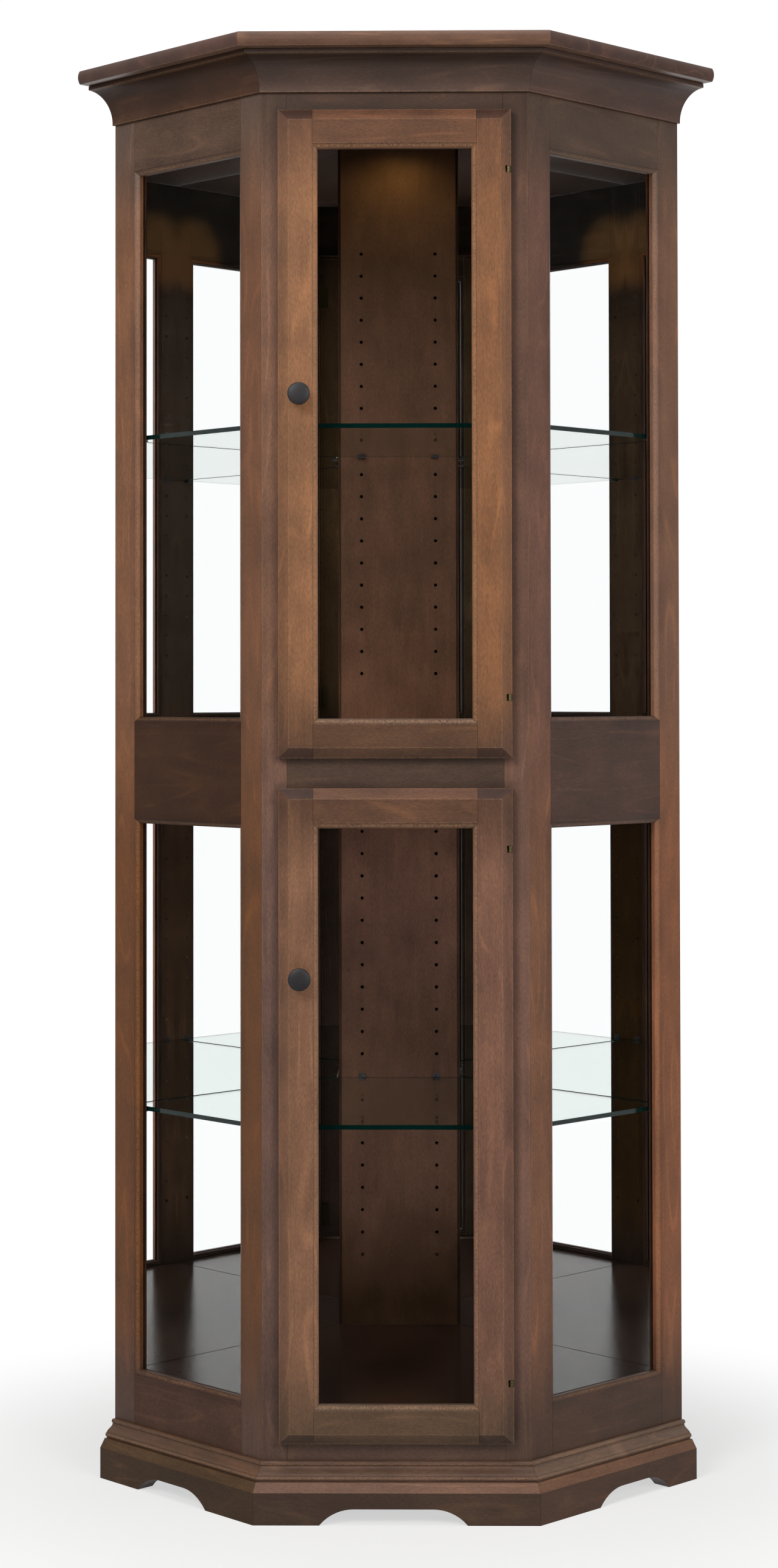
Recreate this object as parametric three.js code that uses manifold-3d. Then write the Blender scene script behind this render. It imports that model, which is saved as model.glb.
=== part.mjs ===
// Corner curio cabinet: a lit display cabinet that stands in the corner of a room.
//
// Plan: a front face with two glazed doors, one above the other, two glazed sides that run back
// at 45 degrees, and two mirrored backs that follow the walls to a narrow centre panel.
// Millimetres, +Z up, the front looks along -Y. The origin is on the floor, under the middle
// of the whole cabinet.

import * as THREE from 'three';
import { mergeVertices } from 'three/addons/utils/BufferGeometryUtils.js';
import Module from 'manifold-3d';

const wasm = await Module();
wasm.setup();

// General
const seatGap = 0.3;            // clearance where two pieces meet
const overrun = 2;              // how far a cutting tool runs past the face it cuts
const stock = 19;               // thickness of the frame members, doors and decks

// Plan of the body, measured at the outer faces
const frontWidth = 341.3;
const sideWidth = 295.7;
const centrePanelWidth = 167.4;
const centrePanelThickness = 16;
const centrePanelRelief = 0.6;  // how far the panel's back corners stay inside the wall line

// Backs along the walls
const wallPanelInset = 1;
const wallPanelThickness = 4.8;
const wallPanelLift = 6;        // bottom edge above the floor
const mirrorThickness = 3.2;

// Base
const baseBoardHeight = 51.6;
const baseBoardOverhang = 25.4;
const baseBevelHeight = 11.2;
const baseBevelRun = 7.6;
const archHeight = 20.3;
const archRadius = 57;
const frontArchWidth = 187.4;
const frontArchShift = -3.8;
const sideArchWidth = 135.7;
const sideArchRearFoot = { left: 79, right: 57 };
const frameLift = 25.4;         // bottom of the face frames, hidden behind the base boards

// Moulding on top of the base boards
const mouldingLift = 1.8;
const mouldingHeight = 21.5;
const mouldingOverhang = 16.6;
const mouldingLip = 2.6;
const mouldingNeck = 4.4;
const mouldingGroove = 1.2;
const mouldingBeadRadius = 2.5;
const mouldingBeadReach = 6;

// Doors
const doorWidth = 297;
const lowerDoorBottom = 98.8;
const lowerDoorHeight = 827.3;
const doorSpacing = 38.1;       // frame rail showing between the two doors
const upperDoorHeight = 826.3;
const doorOverlay = 10;         // how far a door laps over the face frame
const doorStandOff = 1.5;       // gap between a door and the face frame
const doorMember = 50.5;        // stile and rail width, with the inner bevel
const doorBevelWidth = 13.5;
const doorBevelDepth = 7;

// Side frames
const sideStileFront = 46;
const sideStileRear = 47.1;
const windowAboveDoorBottom = { lower: 47.9, upper: 51.6 };
const windowBelowDoorTop = { lower: 52.5, upper: 49.1 };

// Bevelled lip round each pane
const lipWidth = 6.5;
const lipBevelDepth = 4.5;
const lipThickness = 10;
const paneThickness = 3;

// Top board and crown
const topAboveDoors = 89.8;     // from the upper door up to the top of the whole cabinet
const topBoardThickness = 18;
const topBoardOverhang = 64.2;
const topBoardBow = 3.1;        // how far the middle of its edge stands out past the arrises
const crownHeight = 47.4;
const crownFoot = 5;
const crownFootHeight = 2.1;
const crownReach = 46;
const crownFillet = 5.3;

// Decks, shelves and their supports
const deckAboveDoorBottom = 40;
const shelfThickness = 6;
const shelfClearance = 3;       // from the mirrors, sides and centre panel
const shelfFrontInset = 30;     // from the front face of the body
const pinPitch = 32;
const pinAboveDoorBottom = { lower: 172.2, upper: 110.8 };
const pinBelowWindowTop = 26.5; // least distance of the highest hole
const shelfPinCount = { lower: 7, upper: 10 };  // holes of a column below its shelf
const pinColumnSpacing = 107;
const pinColumnInset = 10;      // from the edge of the glass rabbet on a side stile
const pinHoleRadius = 2.6;
const pinHoleDepth = 9;
const clipWidth = 10;
const clipPlate = 1.5;
const clipReach = 9;
const clipDrop = 7;             // from the pin hole down to the underside of the glass
const clipRise = 4;

// Knobs
const knobFromEdge = 27.4;
const knobAboveDoorBottom = { lower: 587.9, upper: 461.3 };
const knobHeadRadius = 14.3;
const knobHeadDome = 3.2;
const knobRim = 3;
const knobFootRadius = 7.5;
const knobNeckRadius = 5.5;
const knobProjection = 25;
const knobFootHeight = 2.5;
const knobFootTaper = 2.5;
const knobCrown = 11;           // from the front of the head back to the neck
const screwRadius = 2;
const screwClearance = 0.4;
const screwHeadRadius = 4.5;
const screwHeadHeight = 2.6;

// Pivot hinges
const hingeInset = 77;          // from the door's ends
const hingeNotchWidth = 7.2;
const hingeNotchHeight = 8.6;
const hingeAxisInset = 3.4;     // from the door's edge
const hingeAxisDepth = 8.2;     // from the door's front face
const knuckleRadius = 2.9;
const knuckleHeight = 3.85;
const hingePinRadius = 1.2;
const hingePinClearance = 0.3;
const hingeArm = 1.8;
const leafThickness = 1.5;
const leafHeight = 38;
const leafWidth = 20;
const leafCorner = 3;
const wrapDepth = 15;           // how far a frame leaf wraps into the opening

// Light under the top board
const lightRadius = 34;
const lightHeight = 18;
const lightRim = 4;
const lightFromPanel = 72;
const lensThickness = 3;

// How round the curved faces are
const coveSteps = 12;
const bowSteps = 8;
const archSteps = 8;
const beadSteps = 6;
const knobSteps = 24;
const knuckleSteps = 16;
const lightSteps = 24;
const panelHoleSides = 8;
const stileHoleSides = 6;

// Sizes that follow from the ones above
const turn = Math.PI / 4;                 // a side or a wall against the front
const slope = Math.cos(turn);
const mitre = Math.tan(turn / 2);         // run of a corner mitre for each unit of depth
const frontHalf = frontWidth / 2;
const cornerX = frontHalf + sideWidth * slope;
const cornerY = sideWidth * slope;
const centreHalf = centrePanelWidth / 2;
const bodyDepth = cornerX + cornerY - centreHalf - centrePanelRelief;
const centreFace = bodyDepth - centrePanelThickness;
const wallReach = (cornerX - centreHalf - seatGap) / slope;
const wallPanelFace = wallPanelInset + wallPanelThickness;
const mirrorFace = wallPanelFace + seatGap + mirrorThickness;
const upperDoorBottom = lowerDoorBottom + lowerDoorHeight + doorSpacing;
const doors = {
  lower: { bottom: lowerDoorBottom, top: lowerDoorBottom + lowerDoorHeight },
  upper: { bottom: upperDoorBottom, top: upperDoorBottom + upperDoorHeight },
};
const windows = Object.entries(doors).map(([level, { bottom, top }]) => ({
  level, low: bottom + windowAboveDoorBottom[level], high: top - windowBelowDoorTop[level],
}));
const topBoardBottom = doors.upper.top + topAboveDoors - topBoardThickness;
const frameTop = topBoardBottom - seatGap;
const doorHalf = doorWidth / 2;
const frameInner = doorHalf - doorOverlay;
const lowerDeckTop = doors.lower.bottom + deckAboveDoorBottom;
const upperDeckTop = doors.upper.bottom + deckAboveDoorBottom;
const sideOpeningStart = sideStileFront;
const sideOpeningEnd = sideWidth - sideStileRear;
const archRun = Math.sqrt(archRadius ** 2 - (archRadius - archHeight) ** 2);
const halfGap = seatGap / 2;

// Materials
const stileWood = new THREE.MeshStandardMaterial({ color: '#7b5540', roughness: 0.5 });
const railWood = new THREE.MeshStandardMaterial({ color: '#5f4235', roughness: 0.5 });
const innerWood = new THREE.MeshStandardMaterial({ color: '#4a3226', roughness: 0.6 });
const plyBack = new THREE.MeshStandardMaterial({ color: '#6b4b38', roughness: 0.8 });
const clearGlass = new THREE.MeshStandardMaterial({
  color: '#dfece8', roughness: 0.05, transparent: true, opacity: 0.3,
});
const silvering = new THREE.MeshStandardMaterial({ color: '#d4dad8', roughness: 0.03, metalness: 1 });
const darkBronze = new THREE.MeshStandardMaterial({ color: '#2c2a2b', roughness: 0.45, metalness: 0.8 });
const brass = new THREE.MeshStandardMaterial({ color: '#b3995e', roughness: 0.35, metalness: 1 });
const lampPlastic = new THREE.MeshStandardMaterial({ color: '#1f1d1c', roughness: 0.6 });
const lampLens = new THREE.MeshStandardMaterial({ color: '#f4e2b8', roughness: 0.4 });

// Geometry helpers

function closedGeometry(positions, faces) {
  const geometry = new THREE.BufferGeometry();
  geometry.setAttribute('position', new THREE.Float32BufferAttribute(positions, 3));
  geometry.setIndex(signedVolume(positions, faces) < 0 ? reversed(faces) : faces);
  return geometry;
}

function reversed(faces) {
  const turned = [];
  for (let i = 0; i < faces.length; i += 3) turned.push(faces[i], faces[i + 2], faces[i + 1]);
  return turned;
}

function signedVolume(positions, faces) {
  const corner = (i) => new THREE.Vector3().fromArray(positions, 3 * i);
  let total = 0;
  for (let i = 0; i < faces.length; i += 3) {
    const [a, b, c] = [corner(faces[i]), corner(faces[i + 1]), corner(faces[i + 2])];
    total += a.dot(b.cross(c)) / 6;
  }
  return total;
}

// The triangles that fill an outline, turning the same way as its points do.
function fillOutline(outline) {
  const contour = outline.map(([u, v]) => new THREE.Vector2(u, v));
  const way = Math.sign(THREE.ShapeUtils.area(contour));
  return THREE.ShapeUtils.triangulateShape([...contour], []).map(([a, b, c]) => {
    const area = THREE.ShapeUtils.area([contour[a], contour[b], contour[c]]);
    return Math.sign(area) === way ? [a, b, c] : [a, c, b];
  });
}

// A closed outline carried along x or z. Each outline point is [across, depth], and its two
// ends are worked out by start and end, so that an end can be a mitre.
function bar(outline, along, start, end) {
  const positions = [];
  for (const limit of [start, end]) {
    for (const [across, depth] of outline) {
      const at = limit(across, depth);
      positions.push(...(along === 'x' ? [at, depth, across] : [across, depth, at]));
    }
  }
  const count = outline.length;
  const faces = [];
  for (const [a, b, c] of fillOutline(outline)) {
    faces.push(a, c, b, a + count, b + count, c + count);
  }
  for (let i = 0; i < count; i += 1) {
    const next = (i + 1) % count;
    faces.push(i, next, i + count, next, next + count, i + count);
  }
  return closedGeometry(positions, faces);
}

// Outlines with the same number of points, one above the other, joined into one solid.
function stack(layers) {
  const count = layers[0].outline.length;
  const positions = layers.flatMap(({ outline, z }) => outline.flatMap(([x, y]) => [x, y, z]));
  const top = (layers.length - 1) * count;
  const faces = [];
  for (const [a, b, c] of fillOutline(layers[0].outline)) {
    faces.push(a, c, b, a + top, b + top, c + top);
  }
  for (let level = 0; level < top; level += count) {
    for (let i = 0; i < count; i += 1) {
      const [low, lowNext] = [level + i, level + ((i + 1) % count)];
      faces.push(low, lowNext, low + count, lowNext, lowNext + count, low + count);
    }
  }
  return closedGeometry(positions, faces);
}

const slab = (outline, bottom, top) => stack([{ outline, z: bottom }, { outline, z: top }]);

function box(x0, x1, y0, y1, z0, z1) {
  return slab([[x0, y0], [x1, y0], [x1, y1], [x0, y1]], z0, z1);
}

function mirrored(geometry) {
  const copy = geometry.clone().scale(-1, 1, 1);
  copy.setIndex(reversed([...copy.index.array]));
  return copy;
}

function toSolid(geometry) {
  const plain = geometry.clone();
  for (const name of Object.keys(plain.attributes)) {
    if (name !== 'position') plain.deleteAttribute(name);
  }
  const merged = mergeVertices(plain);
  return new wasm.Manifold(new wasm.Mesh({
    numProp: 3,
    vertProperties: new Float32Array(merged.attributes.position.array),
    triVerts: new Uint32Array(merged.index.array),
  }));
}

function toGeometry(solid) {
  const { vertProperties, triVerts } = solid.getMesh();
  const geometry = new THREE.BufferGeometry();
  geometry.setAttribute('position', new THREE.Float32BufferAttribute(vertProperties, 3));
  geometry.setIndex([...triVerts]);
  return geometry;
}

const join = (first, ...others) => toGeometry(others.reduce((s, g) => s.add(toSolid(g)), toSolid(first)));
const cut = (first, ...tools) => toGeometry(tools.reduce((s, g) => s.subtract(toSolid(g)), toSolid(first)));

const cabinet = new THREE.Group();

function add(group, name, geometry, material) {
  const flat = geometry.index ? geometry.toNonIndexed() : geometry;
  flat.computeVertexNormals();
  const mesh = new THREE.Mesh(flat, material);
  mesh.name = name;
  group.add(mesh);
  return mesh;
}

function frameGroup(x, y, angle) {
  const group = new THREE.Group();
  group.position.set(x, y, 0);
  group.rotation.z = angle;
  cabinet.add(group);
  return group;
}

// The three faces that carry mouldings, each with its own group. In a group x runs along the
// face, depth runs into the cabinet, and the ends give the mitre at a depth.
const front = frameGroup(0, 0, 0);
const sides = [
  { name: 'right', group: frameGroup(frontHalf, 0, turn), shape: (g) => g },
  { name: 'left', group: frameGroup(-frontHalf, 0, -turn), shape: mirrored },
];
const walls = [
  { name: 'right', group: frameGroup(cornerX, cornerY, 3 * turn), shape: (g) => g },
  { name: 'left', group: frameGroup(-cornerX, cornerY, -3 * turn), shape: mirrored },
];
const frontEnd = (across, depth) => frontHalf - depth * mitre - halfGap;
const frontStart = (across, depth) => -frontEnd(across, depth);
const sideStart = (across, depth) => depth * mitre + halfGap;
const sideEnd = () => sideWidth;

// Plan outline inside the body, at the given distances from its faces.
function planOutline(frontDepth, sideDepth, wallDepth, rear) {
  const sideFrontX = frontHalf - sideDepth / slope + frontDepth;
  const meetX = cornerX - (sideDepth + wallDepth) * slope;
  const meetY = cornerY + (sideDepth - wallDepth) * slope;
  const rearX = cornerX + cornerY - wallDepth / slope - rear;
  const half = [[sideFrontX, frontDepth], [meetX, meetY], [rearX, rear]];
  return [...half, ...half.map(([x, y]) => [-x, y]).reverse()];
}

// Mouldings and base boards: one outline, mitred round the three faces.
function wrapRound(name, outline, material, trim) {
  const frontPiece = bar(outline, 'x', frontStart, frontEnd);
  add(front, `${name}_front`, trim ? trim(frontPiece, 'front') : frontPiece, material);
  for (const side of sides) {
    const piece = bar(outline, 'x', sideStart, sideEnd);
    add(side.group, `${name}_${side.name}`, side.shape(trim ? trim(piece, side.name) : piece), material);
  }
}

function archTool(centre, width) {
  const flatHalf = width / 2 - archRun;
  const rise = [];
  for (let i = 0; i <= archSteps; i += 1) {
    const run = archRun * (1 - i / archSteps);
    rise.push([flatHalf + run, archHeight - archRadius + Math.sqrt(archRadius ** 2 - run ** 2)]);
  }
  const right = [[width / 2, -overrun], ...rise];
  const outline = [...right, ...right.map(([x, z]) => [-x, z]).reverse()];
  const shape = new THREE.Shape(outline.map(([x, z]) => new THREE.Vector2(centre + x, z)));
  const depth = baseBoardOverhang + 2 * overrun;
  const tool = new THREE.ExtrudeGeometry(shape, { depth, bevelEnabled: false });
  return tool.rotateX(Math.PI / 2).translate(0, overrun, 0);
}

function buildBase() {
  const bevelStart = baseBoardHeight - baseBevelHeight;
  const outline = [
    [0, -seatGap],
    [0, -baseBoardOverhang],
    [bevelStart, -baseBoardOverhang],
    [baseBoardHeight, baseBevelRun - baseBoardOverhang],
    [baseBoardHeight, -seatGap],
  ];
  wrapRound('base_board', outline, railWood, (board, where) => {
    if (where === 'front') return cut(board, archTool(frontArchShift, frontArchWidth));
    const centre = sideWidth - sideArchRearFoot[where] - sideArchWidth / 2;
    return cut(board, archTool(centre, sideArchWidth));
  });
}

function buildMoulding() {
  const bottom = baseBoardHeight + mouldingLift;
  const top = bottom + mouldingHeight;
  const beadCentre = top - mouldingBeadRadius;
  const neckTop = beadCentre - mouldingBeadRadius - mouldingGroove;
  const outline = [[bottom, -seatGap], [bottom, -mouldingOverhang]];
  for (let i = 0; i <= coveSteps; i += 1) {
    const share = i / coveSteps;
    const reach = mouldingNeck + (mouldingOverhang - mouldingNeck) * (1 + Math.cos(Math.PI * share)) / 2;
    outline.push([bottom + mouldingLip + (neckTop - bottom - mouldingLip) * share, -reach]);
  }
  outline.push([beadCentre - mouldingBeadRadius, -mouldingNeck]);
  for (let i = 0; i <= beadSteps; i += 1) {
    const angle = Math.PI * (i / beadSteps - 0.5);
    const reach = mouldingBeadReach - mouldingBeadRadius * (1 - Math.cos(angle));
    outline.push([beadCentre + mouldingBeadRadius * Math.sin(angle), -reach]);
  }
  outline.push([top, -seatGap]);
  wrapRound('base_moulding', outline, stileWood);
}

function buildCrown() {
  const bottom = frameTop - crownHeight;
  const coveBottom = bottom + crownFootHeight;
  const coveTop = frameTop - crownFillet;
  const outline = [[bottom, -seatGap], [bottom, -crownFoot]];
  for (let i = 0; i <= coveSteps; i += 1) {
    const angle = (Math.PI / 2) * (i / coveSteps);
    const reach = crownReach - (crownReach - crownFoot) * Math.cos(angle);
    outline.push([coveBottom + (coveTop - coveBottom) * Math.sin(angle), -reach]);
  }
  outline.push([frameTop, -crownReach], [frameTop, -seatGap]);
  wrapRound('crown', outline, stileWood);
}

function buildTopBoard() {
  // the reach falls off with the square of the distance from the middle of the edge
  const layers = [];
  for (let i = 0; i <= bowSteps; i += 1) {
    const share = i / bowSteps;
    const reach = topBoardOverhang - topBoardBow * (share + share - 1) ** 2;
    const outline = planOutline(-reach, -reach, 0, bodyDepth);
    layers.push({ outline, z: topBoardBottom + topBoardThickness * share });
  }
  add(cabinet, 'top_board', stack(layers), stileWood);
}

// Frame members. A member is its full-thickness part, joined to a thinner bevelled lip along
// each opening. The lips of neighbours meet in a mitre.

function lipOutline(edge, away) {
  return [
    [edge, lipBevelDepth],
    [edge, lipThickness],
    [edge + away * lipWidth, lipThickness],
    [edge + away * lipWidth, 0],
  ];
}

function lip(along, edge, away, low, high) {
  const run = (across) => Math.abs(across - edge);
  const outline = lipOutline(edge, away);
  return bar(outline, along, (p) => low - run(p) + halfGap, (p) => high + run(p) - halfGap);
}

// The holes of a column: those that stay open, and the two that carry the shelves.
const shelfPinHeight = (level) => (
  doors[level].bottom + pinAboveDoorBottom[level] + shelfPinCount[level] * pinPitch);

function openPinHeights({ level, high }) {
  const heights = [];
  const lowest = doors[level].bottom + pinAboveDoorBottom[level];
  for (let z = lowest; z <= high - pinBelowWindowTop; z += pinPitch) heights.push(z);
  return heights.filter((z) => Math.abs(z - shelfPinHeight(level)) > pinPitch / 2);
}

function pinHole(x, face, z, sides) {
  const length = pinHoleDepth + overrun;
  const hole = new THREE.CylinderGeometry(pinHoleRadius, pinHoleRadius, length, sides);
  return hole.translate(x, face, z);
}

// An angle clip that carries a shelf: its upright plate covers one hole, its tongue holds the
// glass. It stands on the given face, towards the inside.
function clip(x, face, inward, z) {
  const [left, right] = [x - clipWidth / 2, x + clipWidth / 2];
  const tongueTop = z - clipDrop - seatGap;
  const depths = (reach) => [face - inward * overrun, face + inward * reach].sort((a, b) => a - b);
  return [
    box(left, right, ...depths(clipPlate), tongueTop - clipPlate, z + clipRise),
    box(left, right, ...depths(clipReach), tongueTop - clipPlate, tongueTop),
  ];
}

function withPins(piece, columns, face, inward, sides) {
  const centre = face - (inward * (pinHoleDepth - overrun)) / 2;
  const open = windows.flatMap(openPinHeights);
  const used = windows.map(({ level }) => shelfPinHeight(level));
  const holes = columns.flatMap((x) => open.map((z) => pinHole(x, centre, z, sides)));
  const clips = columns.flatMap((x) => used.flatMap((z) => clip(x, face, inward, z)));
  return join(cut(piece, ...holes), ...clips);
}

function buildFrontFrame() {
  const stileOutline = [
    [frameInner, 0],
    [frontHalf - halfGap, 0],
    [frontHalf - stock * mitre - halfGap, stock],
    [frameInner, stock],
  ];
  const stile = slab(stileOutline, frameLift, frameTop);
  const leaves = hingeHeights().map((z) => frameLeafSeat(z));
  add(front, 'front_stile_right', cut(stile, ...leaves), stileWood);
  add(front, 'front_stile_left', mirrored(stile), stileWood);
  const reach = frameInner - seatGap;
  const rails = {
    front_bottom_rail: [frameLift, lowerDeckTop],
    front_mid_rail: [doors.lower.top - doorOverlay, upperDeckTop],
    front_top_rail: [doors.upper.top - doorOverlay, frameTop],
  };
  for (const [name, [low, high]] of Object.entries(rails)) {
    add(front, name, box(-reach, reach, 0, stock, low, high), railWood);
  }
}

function buildSideFrame({ name, group, shape }) {
  const put = (part, geometry, material) => add(group, `${name}_${part}`, shape(geometry), material);
  const [start, end] = [sideOpeningStart, sideOpeningEnd];
  const frontOutline = [
    [halfGap, 0], [start - lipWidth, 0], [start - lipWidth, stock], [stock * mitre + halfGap, stock],
  ];
  const stiles = {
    front: { body: slab(frontOutline, frameLift, frameTop), edge: start, away: -1 },
    rear: { body: box(end + lipWidth, sideWidth, 0, stock, 0, frameTop), edge: end, away: 1 },
  };
  for (const [part, { body, edge, away }] of Object.entries(stiles)) {
    const lips = windows.map(({ low, high }) => lip('z', edge, away, low, high));
    const column = edge + away * (lipWidth + pinColumnInset);
    const stile = withPins(join(body, ...lips), [column], stock, 1, stileHoleSides);
    put(`${part}_stile`, stile, stileWood);
  }

  const [lower, upper] = windows;
  const [from, to] = [start - lipWidth + seatGap, end + lipWidth - seatGap];
  const railBody = (low, high) => box(from, to, 0, stock, low, high);
  const railLip = (edge, away) => lip('x', edge, away, start, end);
  const bottom = join(railBody(frameLift, lower.low - lipWidth), railLip(lower.low, -1));
  const middle = join(
    railBody(lower.high + lipWidth, upper.low - lipWidth),
    railLip(lower.high, 1),
    railLip(upper.low, -1),
  );
  const top = join(railBody(upper.high + lipWidth, frameTop), railLip(upper.high, 1));
  put('bottom_rail', bottom, railWood);
  put('mid_rail', middle, railWood);
  put('top_rail', top, railWood);

  const lap = lipWidth - seatGap;
  const paneFront = lipThickness + seatGap;
  for (const { level, low, high } of windows) {
    const pane = box(start - lap, end + lap, paneFront, paneFront + paneThickness, low - lap, high + lap);
    put(`${level}_glass`, pane, clearGlass);
  }
}

function buildBacks() {
  const panel = box(-centreHalf, centreHalf, centreFace, bodyDepth, 0, frameTop);
  const half = pinColumnSpacing / 2;
  const drilled = withPins(panel, [-half, half], centreFace, -1, panelHoleSides);
  add(cabinet, 'back_centre_panel', drilled, innerWood);
  const start = stock + seatGap;
  const sheet = (near, far, low) => slab(
    [[start, near], [wallReach - near, near], [wallReach - far, far], [start, far]], low, frameTop);
  for (const { name, group, shape } of walls) {
    const panelSheet = sheet(wallPanelInset, wallPanelFace, wallPanelLift);
    const mirrorSheet = sheet(wallPanelFace + seatGap, mirrorFace, lowerDeckTop + seatGap);
    add(group, `back_${name}_panel`, shape(panelSheet), plyBack);
    add(group, `mirror_${name}`, shape(mirrorSheet), silvering);
  }
}

function buildDecks() {
  const inside = stock + seatGap;
  const rear = centreFace - seatGap;
  const bottom = planOutline(inside, inside, wallPanelFace + seatGap, rear);
  const middle = planOutline(inside, inside, mirrorFace + seatGap, rear);
  add(cabinet, 'bottom_deck', slab(bottom, lowerDeckTop - stock, lowerDeckTop), innerWood);
  add(cabinet, 'mid_deck', slab(middle, upperDeckTop - stock, upperDeckTop), innerWood);
}

function buildShelves() {
  const outline = planOutline(
    shelfFrontInset,
    stock + shelfClearance,
    mirrorFace + shelfClearance,
    centreFace - shelfClearance,
  );
  for (const level of Object.keys(doors)) {
    const underside = shelfPinHeight(level) - clipDrop;
    add(cabinet, `${level}_shelf`, slab(outline, underside, underside + shelfThickness), clearGlass);
  }
}

// Doors. Depth is measured from the door's front face.

const hingeX = doorHalf - hingeAxisInset;

function hingeHeights() {
  return Object.values(doors).flatMap(({ bottom, top }) => [bottom + hingeInset, top - hingeInset]);
}

function doorMemberOutline(outer, inner) {
  const inward = Math.sign(inner - outer);
  return [
    [outer, doorBevelDepth],
    [outer + inward * doorBevelWidth, 0],
    [inner - inward * lipWidth, 0],
    [inner - inward * lipWidth, stock],
    [outer, stock],
  ];
}

function endBevel(end, away) {
  const far = doorHalf + overrun;
  const outside = end + away * overrun;
  const spill = doorBevelDepth * (overrun / doorBevelWidth);
  const outline = [
    [outside, doorBevelDepth + spill],
    [end - away * doorBevelWidth, 0],
    [end - away * doorBevelWidth, -overrun],
    [outside, -overrun],
  ];
  return bar(outline, 'x', () => -far, () => far);
}

function knobGeometry() {
  const back = stock + seatGap;
  const headBack = knobCrown - knobProjection;
  const profile = [[0, -knobProjection]];
  for (let i = 1; i <= beadSteps; i += 1) {
    const share = i / beadSteps;
    const radius = knobHeadRadius * Math.sin((share * Math.PI) / 2);
    profile.push([radius, knobHeadDome * (1 - Math.cos((share * Math.PI) / 2)) - knobProjection]);
  }
  profile.push([knobHeadRadius, knobHeadDome + knobRim - knobProjection]);
  for (let i = 1; i <= beadSteps; i += 1) {
    const angle = (i / beadSteps) * (Math.PI / 2);
    const rimBack = knobHeadDome + knobRim - knobProjection;
    const radius = knobNeckRadius + (knobHeadRadius - knobNeckRadius) * (1 - Math.sin(angle));
    profile.push([radius, rimBack + (headBack - rimBack) * (1 - Math.cos(angle))]);
  }
  profile.push(
    [knobNeckRadius, -knobFootTaper - knobFootHeight],
    [knobFootRadius, -knobFootHeight],
    [knobFootRadius, -seatGap],
    [screwRadius, -seatGap],
    [screwRadius, back],
    [screwHeadRadius, back],
    [screwHeadRadius, back + screwHeadHeight / 2],
    [screwHeadRadius / 2, back + screwHeadHeight],
    [0, back + screwHeadHeight],
  );
  return new THREE.LatheGeometry(profile.map(([r, d]) => new THREE.Vector2(r, d)), knobSteps);
}

function buildDoor(level) {
  const { bottom, top } = doors[level];
  const group = frameGroup(0, -doorStandOff - stock, 0);
  const put = (part, geometry, material) => add(group, `${level}_door_${part}`, geometry, material);
  const inner = doorHalf - doorMember;
  const [openLow, openHigh] = [bottom + doorMember, top - doorMember];
  const knobX = knobFromEdge - doorHalf;
  const knobZ = bottom + knobAboveDoorBottom[level];

  const rightBody = bar(doorMemberOutline(doorHalf, inner), 'z', () => bottom, () => top);
  const rightLip = lip('z', inner, 1, openLow, openHigh);
  const bevels = [endBevel(bottom, -1), endBevel(top, 1)];
  const right = cut(join(rightBody, rightLip), ...bevels);
  const notches = [bottom + hingeInset, top - hingeInset].flatMap(doorLeafSeat);
  const screwHole = new THREE.CylinderGeometry(
    screwRadius + screwClearance, screwRadius + screwClearance, stock + 2 * overrun, knuckleSteps);
  put('stile_right', cut(right, ...notches), stileWood);
  put('stile_left', cut(mirrored(right), screwHole.translate(knobX, stock / 2, knobZ)), stileWood);

  const reach = inner + lipWidth - seatGap;
  const railEnds = [() => -reach, () => reach];
  const rail = (outer, edge, away) => join(
    bar(doorMemberOutline(outer, edge), 'x', ...railEnds), lip('x', edge, away, -inner, inner));
  put('rail_top', rail(top, openHigh, 1), railWood);
  put('rail_bottom', rail(bottom, openLow, -1), railWood);

  const lap = lipWidth - seatGap;
  const paneFront = lipThickness + seatGap;
  const pane = box(
    -inner - lap, inner + lap, paneFront, paneFront + paneThickness, openLow - lap, openHigh + lap);
  put('glass', pane, clearGlass);
  const knob = add(group, `${level}_knob`, knobGeometry(), darkBronze);
  knob.position.set(knobX, 0, knobZ);
  buildHinge(group, `${level}_door_bottom_hinge`, bottom + hingeInset);
  buildHinge(group, `${level}_door_top_hinge`, top - hingeInset);
}

// Pivot hinges. The upper knuckle and its pin belong to the frame leaf, the lower knuckle to
// the door leaf, and both turn in a small notch in the door's edge.

const armHalf = hingeArm / 2;
const wrapLeft = frameInner - seatGap - leafThickness;
const notchLeft = doorHalf - hingeNotchWidth;
const doorLeafRight = notchLeft + seatGap + hingeArm;
const frameFace = stock + doorStandOff;

// The sunk seat of a frame leaf, measured from the front face of the body.
function frameLeafSeat(z) {
  const half = leafHeight / 2 + seatGap;
  const right = hingeX + armHalf + seatGap;
  return box(frameInner - overrun, right, -overrun, leafThickness + seatGap, z - half, z + half);
}

function doorLeafSeat(z) {
  const half = hingeNotchHeight / 2;
  return [
    box(notchLeft, doorHalf + overrun, -overrun, stock + overrun, z - half, z + half),
    doorLeafPlate(z, seatGap, overrun),
  ];
}

function doorLeafPlate(z, grow, past) {
  const [left, right] = [doorLeafRight - leafWidth - grow, doorLeafRight + grow];
  const [low, high] = [z - leafHeight / 2 - grow, z + leafHeight / 2 + grow];
  const outline = [
    [left + leafCorner, low], [right, low], [right, high], [left + leafCorner, high],
    [left, high - leafCorner], [left, low + leafCorner],
  ];
  const shape = new THREE.Shape(outline.map(([x, up]) => new THREE.Vector2(x, up)));
  const depth = leafThickness + grow + past;
  const plate = new THREE.ExtrudeGeometry(shape, { depth, bevelEnabled: false });
  return plate.rotateX(Math.PI / 2).translate(0, stock + past, 0);
}

function hingePillar(radius, low, high) {
  const pillar = new THREE.CylinderGeometry(radius, radius, high - low, knuckleSteps);
  return pillar.rotateX(Math.PI / 2).translate(hingeX, hingeAxisDepth, (low + high) / 2);
}

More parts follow.
